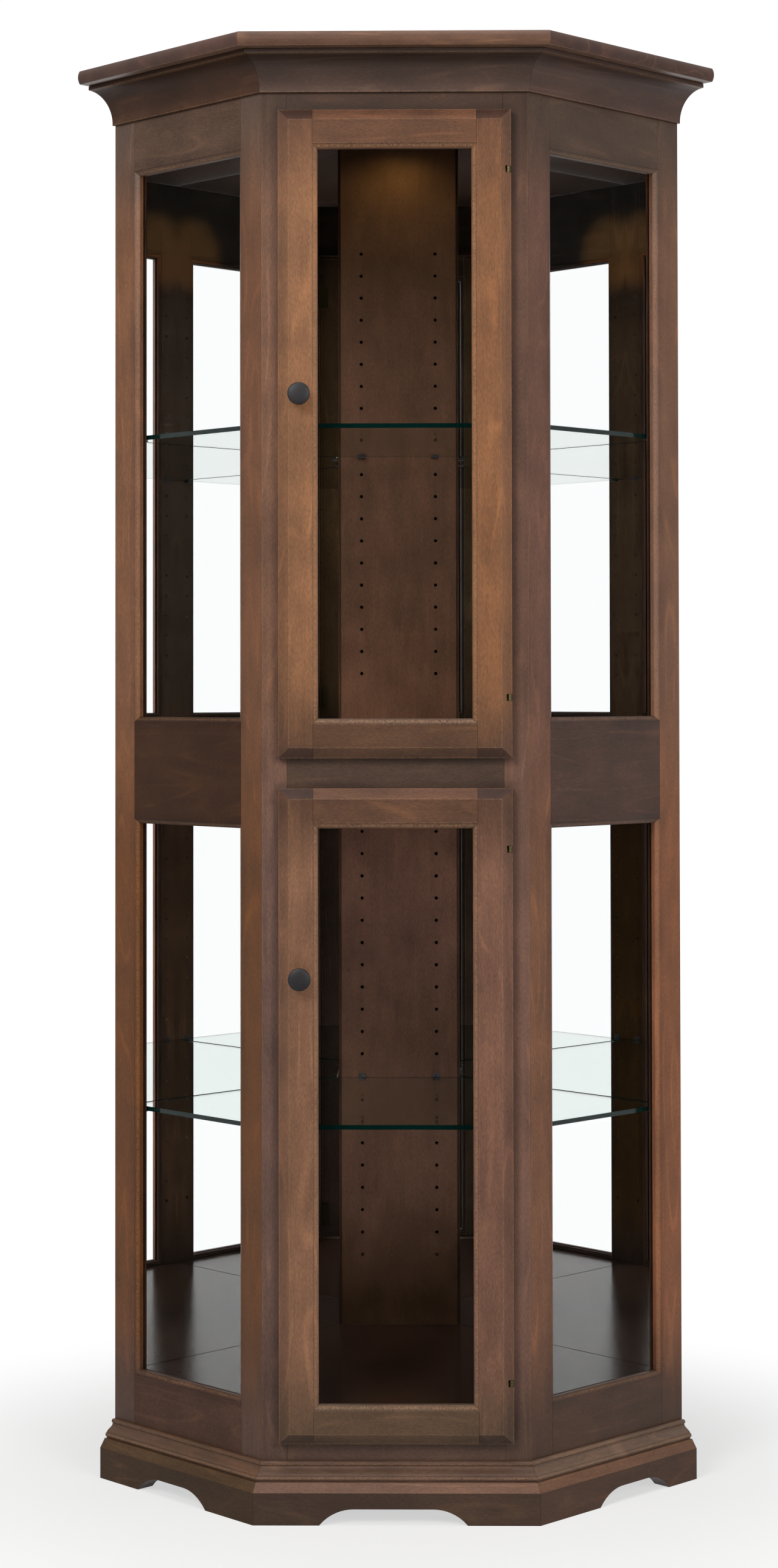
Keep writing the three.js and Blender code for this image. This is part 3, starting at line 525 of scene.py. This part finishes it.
# the top board: wear and painted highlight on its front arrises, painted shade and a glossier lacquer
# underneath
cut("top_board", "front", "x", figure=0.45, blotch=1.7, streak=2.0, fibre=0.6, bump=0.3,
    underside=(0.27, 1.0), rubbed=[levelLine(z, arris, 0.5) for z in (topZ, topZ - boardThickness)])
for part in ("stile_left", "stile_right", "bottom_rail", "mid_rail", "top_rail"):
    name, stile = "front_" + part, "stile" in part
    ends = joined(name, "front_top_rail", "front_bottom_rail", *cabinetEnds) if stile else []
    cut(name, "front", "z" if stile else "x", inside=insideShade["front"], ends=ends,
        smoked=frameSmoke, rubbed=[((-frontHalf, frontHalf, -wide, wide), 0, softArris, 0.3)])
# the centre panel: painted shade low down, near the top, over the lower shelf and in the seams at its sides
# by the mirrors; painted light around the mid deck and near the top; painted shade in the pin holes
cut("back_centre_panel", "front", "z", contrast=0.8, figure=0.06, specular=0.03,
    change=(0.93, 0.97), behind="#6b4a38", haze=0.85, smoke=(0.46, 0.46, 0.4),
    bored=(panelFace + pinHole["skin"], -1),
    drawn=[(x, panelFace, pinHole["lowest"]) for x in (-pinHole["onPanel"], pinHole["onPanel"])],
    paled=[twoLines(930 * mm, 300 * mm, 1.0)],
    smoked=[twoLines(height * mm, reach * mm, strength) for height, reach, strength in panelSmoke]
    + [((-panelHalf, panelHalf, -wide, wide), 0, 1.6 * mm, 1.0)])
for deck in ("bottom_deck", "mid_deck"):
    cut(deck, "front", "x", specular=0.09, polish=0.45, bump=0.0)
for side in ("left", "right"):
    for part in ("front_stile", "rear_stile", "bottom_rail", "mid_rail", "top_rail"):
        name = f"{side}_{part}"
        look = {"rubbed": windowRubs, "smoked": windowSmoke, "inside": insideShade["side"]}
        if part in sidePins:
            look["ends"] = joined(name, f"{side}_top_rail", f"{side}_bottom_rail", *cabinetEnds)
            # painted shade in the pin holes, and a painted hole where the lowest pin would go
            look["bored"] = (stock - pinHole["skin"], 1)
            look["drawn"] = [(sidePins[part], stock, pinHole["lowest"])]
        elif side == "left":
            look["specular"] = duller["rail"]
        cut(name, side, "z" if part in sidePins else "x", **look)
for face in ("front", "left", "right"):
    gloss = duller if face == "left" else dict.fromkeys(duller, wood["specular"])
    # crown: painted shade at the top of the cove under the top board, painted light at its foot, and wear and
    # painted highlight on its arrises
    cut("crown_" + face, face, "x", figure=0.3, contrast=0.7, specular=gloss["crown"],
        smoked=[levelLine(frameTop - 8 * mm, 14 * mm, 0.6)],
        paled=[levelLine(crownBottom + 3 * mm, 13 * mm, 0.6)],
        rubbed=[levelLine(crownBottom + 1 * mm, softArris, 0.3), levelLine(frameTop - 5.3 * mm, arris, 0.4)])
    # wear and painted highlight along the moulding's bead and the top of its lip
    cut("base_moulding_" + face, face, "x",
        rubbed=[levelLine(70.8 * mm, 1.6 * mm, 0.5), levelLine(56.5 * mm, 2.2 * mm, 0.4)])
    cut("base_board_" + face, face, "x", figure=0.3, specular=gloss["base"], bevelShade=baseBevels[face])
for level, (low, high) in doorHeights.items():
    rails = (f"{level}_door_rail_top", f"{level}_door_rail_bottom")
    for part in ("stile_left", "stile_right", "rail_top", "rail_bottom"):
        name, stile = f"{level}_door_{part}", "stile" in part
        look = {"ends": joined(name, *rails, high, low, doorEndReach)} if stile else {}
        if part == "rail_top":
            look["bevelShade"] = railTopBevel
        cut(name, "front", "z" if stile else "x", rubbed=doorRubs[level], smoked=doorSmoke[level],
            inside=insideShade["front"], **look)

woods = {}
for seed, (name, look) in enumerate(boards.items(), 1):
    woods[name] = stainedMaple("maple " + name.replace("_", " "), {"seed": seed, **look})
    nodes[name].data.materials[0] = woods[name]
print("wood stained:", len(woods), "boards")

# Glass and mirrors
glass = {"tint": "#ffffff", "ior": 1.04, "shelfIor": 1.35,
         "shelfFace": "#e6f3ee", "shelfEdge": "#04211d", "edgeShare": 0.85}
mirror = {"silver": "#fdfefe", "roughness": (0.0048, 0.0112), "grimeScale": 9.0, "edge": "#1a2420"}


def lampsPass(tree, shader):
    # lamps and soft light go straight through; the eye and the mirrors see the glass
    path = addNode(tree, "LightPath")
    soft = addNode(tree, "Math", larger, input_0=path.outputs["Is Shadow Ray"],
                   input_1=path.outputs["Is Diffuse Ray"])
    clear = addNode(tree, "BsdfTransparent", Color=linear(glass["tint"]))
    mix = addNode(tree, "MixShader", input_0=soft, input_1=shader, input_2=clear)
    addNode(tree, "OutputMaterial", Surface=mix)


def floatGlass():
    # clear float glass, 3 mm, smooth as drawn
    material, tree = newMaterial("clear float glass")
    lampsPass(tree, addNode(tree, "BsdfPrincipled", Base_Color=linear(glass["tint"]), Roughness=0.0,
                            IOR=glass["ior"], Transmission_Weight=1.0))
    return material


def shelfGlass():
    # float glass 6 mm thick: clear through the faces, deep green along the ground edges
    material, tree = newMaterial("6 mm float glass with ground edges")
    split = addNode(tree, "SeparateXYZ", Vector=addNode(tree, "TexCoord").outputs["Normal"])
    up = addNode(tree, "Math", absolute, input_0=split.outputs["Z"])
    edge = addNode(tree, "MapRange", Value=up, From_Min=0.5, From_Max=0.6, To_Min=1.0, To_Max=0.0)
    tint = addNode(tree, "Mix", blended, Factor=edge, input_6=linear(glass["shelfFace"]),
                   input_7=linear(glass["shelfEdge"]))
    body = addNode(tree, "MapRange", Value=edge, To_Min=1.0, To_Max=1 - glass["edgeShare"])
    lampsPass(tree, addNode(tree, "BsdfPrincipled", Base_Color=tint, Roughness=0.0, IOR=glass["shelfIor"],
                            Transmission_Weight=body))
    return material


def silverMirror(side):
    # silvered glass on its front, which faces back across the cabinet at 45 degrees; the edges
    # and the painted back are dark
    material, tree = newMaterial("silvered glass " + side)
    coords = addNode(tree, "TexCoord")
    grime = addNode(tree, "TexNoise", Vector=coords.outputs["Object"], Scale=mirror["grimeScale"])
    low, high = mirror["roughness"]
    sheen = addNode(tree, "MapRange", Value=grime, To_Min=low, To_Max=high)
    silver = addNode(tree, "BsdfPrincipled", Base_Color=linear(mirror["silver"]), Metallic=1.0,
                     Roughness=sheen)
    edge = addNode(tree, "BsdfDiffuse", Color=linear(mirror["edge"]))
    facing = addNode(tree, "VectorMath", {"operation": "DOT_PRODUCT"}, input_0=coords.outputs["Normal"],
                     input_1=(slope if side == "left" else -slope, -slope, 0))
    front = addNode(tree, "Math", above, input_0=facing, input_1=slope)
    mix = addNode(tree, "MixShader", input_0=front, input_1=edge, input_2=silver)
    addNode(tree, "OutputMaterial", Surface=mix)
    return material


# Metals, the lamp and the outside of the backs. Bronze is dull and nearly black, brass is a warm
# low shine, ABS is a soft black.
fittings = {
    "bronze": {"name": "oil-rubbed bronze", "colour": "#111114", "worn": "#1f1a19", "metallic": 0.4,
               "roughness": (0.42, 0.55), "grain": 3},
    "brass": {"name": "rolled brass", "colour": "#5f5536", "worn": "#3f3826", "metallic": 1.0,
              "roughness": (0.28, 0.45), "grain": 2},
    "plastic": {"name": "black moulded ABS", "colour": "#1c1b1a", "worn": "#262423", "metallic": 0.0,
                "roughness": (0.45, 0.6), "grain": 1},
}


def mottledFinish(look):
    # two tones and two roughnesses in soft spots, as wide as the grain in millimetres
    material, tree = newMaterial(look["name"])
    noise = addNode(tree, "TexNoise", Vector=addNode(tree, "TexCoord").outputs["Object"],
                    Scale=1 / (look["grain"] * mm), Detail=3.0)
    colour = addNode(tree, "Mix", blended, Factor=noise, input_6=linear(look["colour"]),
                     input_7=linear(look["worn"]))
    gloss = addNode(tree, "MapRange", Value=noise, To_Min=look["roughness"][0], To_Max=look["roughness"][1])
    skin = addNode(tree, "BsdfPrincipled", Base_Color=colour, Metallic=look["metallic"], Roughness=gloss)
    addNode(tree, "OutputMaterial", Surface=skin)
    return material


finishes = {key: mottledFinish(look) for key, look in fittings.items()}
plyLook = {"stain": ["#6b4a38"], "face": "front", "grain": "z", "seed": 92, "contrast": 0.8, "specular": 0.06}
finishes["ply"] = stainedMaple("stained plywood", plyLook)
lamp = {"lens": "#f4e2b8", "shine": "#fff1cc", "strength": 1.5, "roughness": 0.5,
        "frost": 1.5, "frostBump": 0.4, "frostDepth": 0.2,
        "glow": "#ffe79c", "power": 0.6, "cone": 162, "radius": 6, "blend": 0.8, "back": 14, "drop": 3,
        "sideSpot": (341, 188, 1756), "sidePower": 8, "sideCone": 19, "sideGlow": "#ffc46c"}


def frostedLens():
    # frosted lens over a warm filament lamp, evenly bright
    material, tree = newMaterial("frosted lens")
    noise = addNode(tree, "TexNoise", Vector=addNode(tree, "TexCoord").outputs["Object"],
                    Scale=1 / (lamp["frost"] * mm))
    bump = addNode(tree, "Bump", Height=noise, Strength=lamp["frostBump"], Distance=lamp["frostDepth"] * mm)
    skin = addNode(tree, "BsdfPrincipled", Base_Color=linear(lamp["lens"]), Roughness=lamp["roughness"],
                   Normal=bump, Emission_Color=linear(lamp["shine"]), Emission_Strength=lamp["strength"])
    addNode(tree, "OutputMaterial", Surface=skin)
    return material


def warmBulb():
    # a soft cone of light down through the lens, and what its rim throws on the sides
    low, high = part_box("light_lens")
    at = Vector(((low.x + high.x) / 2, (low.y + high.y) / 2 + lamp["back"] * mm, low.z - lamp["drop"] * mm))
    along, depth, height = [value * mm for value in lamp["sideSpot"]]
    side = (lamp["sideGlow"], lamp["sidePower"], lamp["sideCone"])
    beams = {"warm bulb": (at - Vector((0, 0, 1)), lamp["glow"], lamp["power"], lamp["cone"]),
             "warm rim left": ((-along, frontY + depth, height), *side),
             "warm rim right": ((along, frontY + depth, height), *side)}
    for name, (aim, glow, power, cone) in beams.items():
        data = bpy.data.lights.new(name, "SPOT")
        data.color, data.energy, data.shadow_soft_size = linear(glow)[:3], power, lamp["radius"] * mm
        data.spot_size, data.spot_blend = math.radians(cone), lamp["blend"]
        aimed(name, data, at, aim).visible_glossy = False


warmBulb()
finishOf = {"_glass": floatGlass(), "_shelf": shelfGlass(), "mirror_left": silverMirror("left"),
            "mirror_right": silverMirror("right"), "back_left": finishes["ply"],
            "back_right": finishes["ply"], "_knob": finishes["bronze"], "hinge": finishes["brass"],
            "light_housing": finishes["plastic"], "light_lens": frostedLens()}
for name, node in nodes.items():
    for words, finish in finishOf.items():
        if words in name:
            node.data.materials[0] = finish
print("glass, mirrors and fittings finished")

# Surfaces. Each is worked out as arrays of points. Sizes in the dictionaries are in millimetres.
mergeDistance, sharpAngle = 0.001 * mm, 35


def addPiece(name, points, faces, material, body, stands=()):
    mesh = bpy.data.meshes.new(name)
    mesh.from_pydata(np.asarray(points).tolist(), [], [np.asarray(f).tolist() for f in faces])
    work = bmesh.new()
    work.from_mesh(mesh)
    bmesh.ops.remove_doubles(work, verts=work.verts, dist=mergeDistance)
    bmesh.ops.recalc_face_normals(work, faces=work.faces)
    work.to_mesh(mesh)
    work.free()
    mesh.polygons.foreach_set("use_smooth", np.ones(len(mesh.polygons), bool))
    mesh.set_sharp_from_angle(angle=math.radians(sharpAngle))
    mesh.materials.append(material)
    piece = newObject(name, mesh)
    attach(piece, body)
    if stands:
        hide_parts(*stands)


def strip(rows, columns):
    # quads between neighbours of a grid of points, whose last column joins the first
    row, column = np.meshgrid(np.arange(rows - 1), np.arange(columns), indexing="ij")
    after = (column + 1) % columns
    return np.stack([row * columns + column, row * columns + after,
                     (row + 1) * columns + after, (row + 1) * columns + column], -1).reshape(-1, 4)


def eased(outline, radius, steps=4):
    # each corner becomes a short parabola between points one radius before and after it:
    # (1-t)^2 * before + 2t(1-t) * corner + t^2 * after
    outline = np.asarray(outline, float)
    back, ahead = np.roll(outline, 1, 0) - outline, np.roll(outline, -1, 0) - outline
    lengths = [np.linalg.norm(v, axis=1, keepdims=True) for v in (back, ahead)]
    before = outline + back / lengths[0] * np.minimum(radius, lengths[0] * 0.45)
    after = outline + ahead / lengths[1] * np.minimum(radius, lengths[1] * 0.45)
    t = np.linspace(0, 1, steps)[:, None, None]
    curve = (1 - t) ** 2 * before + 2 * t * (1 - t) * outline + t ** 2 * after
    return curve.transpose(1, 0, 2).reshape(-1, 2)


def placed(points, face, depth=0.0):
    matrix = np.array(faceMatrix(face) @ Matrix.Translation((0, depth, 0)))
    return np.asarray(points) @ matrix[:3, :3].T + matrix[:3, 3]


halfGap = 0.15 * mm
mitre = math.tan(turn / 2)


def mouldedLength(name, profile, face):
    # a profile of (height, reach) carried along a face; its ends are cut to the corner mitre, and
    # the sides end square at the wall
    height, reach = np.asarray(profile).T
    if face == "front":
        end = frontHalf + reach * mitre - halfGap
        start = -end
    else:
        start, end = halfGap - reach * mitre, np.full(len(reach), sideWidth)
    points = np.concatenate([np.stack([x, -reach, height], -1) for x in (start, end)])
    count = len(reach)
    faces = [*strip(2, count), np.arange(count), np.arange(count, 2 * count)]
    addPiece(name + "_skin", placed(points, face), faces, woods[name], "cabinet", [name])


crown = {"foot": 5.0, "footHeight": 2.1, "reach": 46.0, "fillet": 5.3, "steps": 40, "ease": 0.7}
plinth = {"bottom": 53.4, "height": 21.5, "overhang": 16.6, "tongue": 1.6,
          "lip": 5.2, "lipStep": 2.2, "lipShare": 0.6, "neck": 4.4, "groove": 0.8,
          "bead": 2.8, "beadReach": 6.0, "steps": 32, "roundSteps": 16}


def crownProfile():
    # reach = reach - (reach - foot) * cos(a), height = bottom + rise * sin(a), a from 0 to a right angle;
    # the eased corners below and above leave out the one where they meet the cove
    c = crown
    a = np.linspace(0, math.pi / 2, c["steps"])
    low, top = c["footHeight"], crownHeight / mm
    high = top - c["fillet"]
    cove = np.stack([low + (high - low) * np.sin(a), c["reach"] - (c["reach"] - c["foot"]) * np.cos(a)], -1)
    square = eased([(0, seatGap), (0, c["foot"]), (low, c["foot"])], c["ease"])[:-4]
    nose = eased([(high, c["reach"]), (top, c["reach"]), (top, seatGap)], c["ease"])[4:]
    return np.concatenate([square, cove, nose]) * mm + (crownBottom, 0)


def plinthProfile():
    # a recessed tongue, a rounded lip, a cosine hollow up to a neck, then a half-round bead
    p = plinth
    centre = p["height"] - p["bead"]
    neckTop = centre - p["bead"] - p["groove"]
    a = np.linspace(-math.pi / 2, math.pi / 2, p["roundSteps"])
    half = p["lip"] / 2
    lip = np.stack([half + half * np.sin(a), p["overhang"] - p["lipShare"] * half * (1 - np.cos(a))], -1)
    share = np.linspace(0, 1, p["steps"])
    foot = p["overhang"] - p["lipStep"]
    hollow = np.stack([p["lip"] + (neckTop - p["lip"]) * share,
                       p["neck"] + (foot - p["neck"]) * (1 + np.cos(math.pi * share)) / 2], -1)
    bead = np.stack([centre + p["bead"] * np.sin(a), p["beadReach"] - p["bead"] * (1 - np.cos(a))], -1)
    tongue = [(-p["tongue"], seatGap), (-p["tongue"], foot), (0, foot)]
    flat = [(centre - p["bead"], p["neck"]), (centre - p["bead"], p["beadReach"] - p["bead"])]
    profile = np.concatenate([tongue, lip, hollow, flat, bead[1:], [(p["height"], seatGap)]])
    return (profile + (p["bottom"], 0)) * mm


for face in ("front", "left", "right"):
    mouldedLength("crown_" + face, crownProfile(), face)
    mouldedLength("base_moulding_" + face, plinthProfile(), face)

topEdge = {"overhang": 64.2, "bow": 3.1, "ease": 0.5, "easePower": 24, "steps": 28}
cornerX = frontHalf + sideWidth * slope
cornerY = sideWidth * slope


def roundedTop():
    # reach = overhang - bow * u^2 - ease * u^24, u from -1 at the bottom to 1 at the top, so the
    # edge is a shallow bow whose arrises are just eased
    e = topEdge
    u = np.sin(np.linspace(-math.pi / 2, math.pi / 2, e["steps"]))
    reach = (e["overhang"] - e["bow"] * u ** 2 - e["ease"] * u ** e["easePower"]) * mm
    height = topZ - boardThickness * (1 - u) / 2
    x = [frontHalf + reach * mitre, cornerX + reach * slope, np.full(len(u), cornerX + cornerY - bodyDepth)]
    y = [-reach, cornerY - reach * slope, np.full(len(u), bodyDepth)]
    x, y = np.stack(x + [-v for v in x[::-1]], -1), np.stack(y + y[::-1], -1)
    corners = x.shape[1]
    points = np.stack([x, y, np.repeat(height[:, None], corners, 1)], -1).reshape(-1, 3)
    faces = [*strip(len(u), corners), np.arange(corners), np.arange(corners) + corners * (len(u) - 1)]
    addPiece("top_board_skin", placed(points, "front"), faces, woods["top_board"], "cabinet",
             ["top_board"])


roundedTop()
print("mouldings and top board shaped")

# Turned knobs: a domed head with a soft rim, a waisted neck and a small foot, then the screw
knob = {"fromEdge": 27.4, "heights": {"lower": 686.7, "upper": 1425.5}, "projection": 25.0,
        "radius": 14.3, "dome": 3.2, "rim": 3.0, "facePowers": (0.9, 1.1), "crown": 11.0, "neck": 5.5,
        "footRadius": 7.5, "foot": 2.5, "ease": 0.4, "screw": 2.0, "head": 4.5, "headHeight": 2.6,
        "round": 64, "steps": 24}
doorFront = -(1.5 * mm + stock)


def knobProfile():
    # (radius, depth), from the middle of the head to the screw's head behind the stile: the face is
    # radius * sin(s)^0.9 by dome * (1 - cos(s))^1.1, and the back narrows to the neck as 1 - sin(s)
    k = knob
    s = np.linspace(0, math.pi / 2, k["steps"])
    wider, flatter = k["facePowers"]
    edge, seat = k["dome"] + k["rim"], k["projection"] - seatGap
    face = np.stack([k["radius"] * np.sin(s) ** wider, k["dome"] * (1 - np.cos(s)) ** flatter], -1)
    back = np.stack([k["neck"] + (k["radius"] - k["neck"]) * (1 - np.sin(s)),
                     edge + (k["crown"] - edge) * (1 - np.cos(s))], -1)
    behind = k["projection"] + stock / mm + seatGap
    end = behind + k["headHeight"]
    foot = [(k["neck"], k["projection"] - 2 * k["foot"]), (k["footRadius"], k["projection"] - k["foot"]),
            (k["footRadius"], seat), (k["screw"], seat), (k["screw"], behind), (k["head"], behind),
            (k["head"], behind + k["headHeight"] / 2), (k["head"] / 2, end), (0, end)]
    foot = eased(foot, k["ease"])[4:-3]
    return (np.concatenate([face, back, foot, [(0, foot[-1][1])]]) - (0, k["projection"])) * mm


def turnedKnob(level):
    # the profile turned round a line that runs straight into the cabinet
    x, z = knob["fromEdge"] * mm - doorHalf, knob["heights"][level] * mm
    profile = knobProfile()
    radius, depth = profile.T[:, :, None]
    a = np.arange(knob["round"]) * (2 * math.pi / knob["round"])
    points = np.stack([x + radius * np.cos(a), doorFront + depth + 0 * a, z + radius * np.sin(a)], -1)
    addPiece(f"{level}_knob_turned", placed(points.reshape(-1, 3), "front"), strip(len(profile), len(a)),
             finishes["bronze"], f"{level}_door", [f"{level}_knob"])


for level in knob["heights"]:
    turnedKnob(level)
print("knobs turned")

# Glazing stops: quarter-round strips that hold the panes from behind
stops = {"near": 0.8, "far": 6.2, "front": 13.6, "back": 18.6, "round": 3.4, "steps": 8}
stopLook = {"stain": ["#3a281f"], "face": "front", "grain": "z", "seed": 91, "specular": 0.02}
stopWood = stainedMaple("maple glazing stop", stopLook)


def glazingStop(name, rectangle, face, depth, body):
    # a profile carried round the four corners of an opening, each corner moved out both ways
    s = stops
    a = np.linspace(0, math.pi / 2, s["steps"])
    curve = np.stack([s["near"] + s["round"] * (1 - np.sin(a)), s["back"] - s["round"] * (1 - np.cos(a))], -1)
    square = [(s["near"], s["front"]), (s["far"], s["front"]), (s["far"], s["back"])]
    profile = np.concatenate([square, curve]) * mm
    left, right, low, high = rectangle
    corners = np.array([(left, low, -1, -1), (right, low, 1, -1), (right, high, 1, 1), (left, high, -1, 1)])
    x = corners[:, None, 0] + corners[:, None, 2] * profile[None, :, 0]
    z = corners[:, None, 1] + corners[:, None, 3] * profile[None, :, 0]
    points = np.stack([x, np.repeat(profile[None, :, 1], 4, 0), z], -1).reshape(-1, 3)
    count = len(profile)
    addPiece(name, placed(points, face, depth), strip(5, count) % (4 * count), stopWood, body)


for level in doorHeights:
    glazingStop(f"{level}_door_stop", doorOpenings[level], "front", doorFront, f"{level}_door")
    for side in ("left", "right"):
        glazingStop(f"{side}_{level}_stop", windows[level], side, 0, "cabinet")
print("glazing stops fitted")

# Shelf clips: pressed angle clips with a round pin head, over the wooden clips of the model
clip = {"half": 5.15, "rise": 4.15, "plate": 1.65, "tongue": 9.15, "top": -7.15, "bottom": -8.95, "ease": 0.5,
        "pin": 2.4, "dome": 0.8, "sunk": 0.05, "round": 20, "rings": 5, "heights": (495, 1395)}


def angleClip(along, height, depth, inward):
    # an eased L carried across the clip's width, and a pin head: radius cos(r), lift sin(r)
    c = clip
    outline = eased([(0, c["rise"]), (c["plate"], c["rise"]), (c["plate"], c["top"]), (c["tongue"], c["top"]),
                     (c["tongue"], c["bottom"]), (0, c["bottom"])], c["ease"], 3) * mm
    count = len(outline)
    ends = [np.stack([np.full(count, along + side * c["half"] * mm), depth + inward * outline[:, 0],
                      height + outline[:, 1]], -1) for side in (-1, 1)]
    a = np.arange(c["round"]) * (2 * math.pi / c["round"])
    r = np.linspace(0, math.pi / 2, c["rings"])[:, None]
    radius, lift = c["pin"] * np.cos(r) * mm, (c["plate"] - c["sunk"] + c["dome"] * np.sin(r)) * mm
    head = [along + radius * np.cos(a), depth + inward * (lift + 0 * a), height + radius * np.sin(a)]
    first = 2 * count
    faces = [*strip(2, count), np.arange(count), np.arange(count, first),
             *(strip(c["rings"], c["round"]) + first), np.arange(c["round"]) + first]
    return np.concatenate([*ends, np.stack(head, -1).reshape(-1, 3)]), faces


def clipSet():
    columns = [("front", x, panelFace, -1) for x in (-pinHole["onPanel"], pinHole["onPanel"])]
    columns += [(face, along, stock, 1) for face in ("left", "right") for along in sidePins.values()]
    points, faces, total = [], [], 0
    for height in clip["heights"]:
        for face, along, depth, inward in columns:
            spots, sheets = angleClip(along, height * mm, depth, inward)
            points.append(placed(spots, face))
            faces += [sheet + total for sheet in sheets]
            total += len(spots)
    addPiece("shelf_clips", np.concatenate(points), faces, finishes["bronze"], "cabinet")


clipSet()
print("shelf clips fitted")

# Putty in the two upright seams beside the centre panel, so that no light comes through them
seam = {"inner": 83.55, "outer": 84.15, "depth": (8.0, 2.0), "ends": 1.0}


def seamPutty():
    # two square strips, one the mirror image of the other
    low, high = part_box("back_right_panel")[0].z + seam["ends"] * mm, frameTop - seam["ends"] * mm
    x, y, z = np.meshgrid([seam["inner"] * mm, seam["outer"] * mm],
                          [bodyDepth - d * mm for d in seam["depth"]], [low, high], indexing="ij")
    corners = np.stack([x, y, z], -1).reshape(-1, 3)
    box = np.array([(0, 1, 3, 2), (4, 6, 7, 5), (0, 4, 5, 1), (2, 3, 7, 6), (0, 2, 6, 4), (1, 5, 7, 3)])
    points = np.concatenate([corners, corners * (-1, 1, 1)])
    addPiece("seam_putty", placed(points, "front"), [*box, *(box + 8)], stopWood, "cabinet")


seamPutty()
print("seams filled")

# Brads that hold the plywood backs, seen from behind
brads = {"inset": 8.0, "wallInset": 1.0, "radius": 1.7, "rise": 0.3, "round": 12, "along": 4, "up": 13,
         "domeShares": [(1, 0), (0.8, 0.6), (0, 1)]}


def bradHeads():
    # a low dome at each place round the edge of a back; the left side mirrors the right
    b = brads
    start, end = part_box("back_right_panel")
    inset, length = b["inset"] * mm, (cornerX - start.x) / slope
    along = np.linspace(stock + inset, length - inset, b["along"])
    up = np.linspace(start.z + inset, end.z - inset, b["up"])
    spots = [(a, z) for z in up for a in along[[0, -1]]] + [(a, z) for z in up[[0, -1]] for a in along[1:-1]]
    a, z = np.array(spots).T[:, :, None, None]
    around = np.arange(b["round"]) * (2 * math.pi / b["round"])
    radius, lift = (np.array(b["domeShares"]) * (b["radius"] * mm, b["rise"] * mm)).T[:, None, :, None]
    across, out = a + radius * np.cos(around), lift - b["wallInset"] * mm + 0 * around
    points = np.stack([cornerX + slope * (out - across), cornerY + slope * (out + across),
                       z + radius * np.sin(around)], -1).reshape(-1, 3)
    rings = len(b["domeShares"])
    head = strip(rings, b["round"])
    faces = (head[None] + rings * b["round"] * np.arange(len(spots))[:, None, None]).reshape(-1, 4)
    both = np.concatenate([points, points * (-1, 1, 1)])
    addPiece("brads", placed(both, "front"), [*faces, *(faces + len(points))], finishes["bronze"], "cabinet")


bradHeads()
print("backs nailed on")
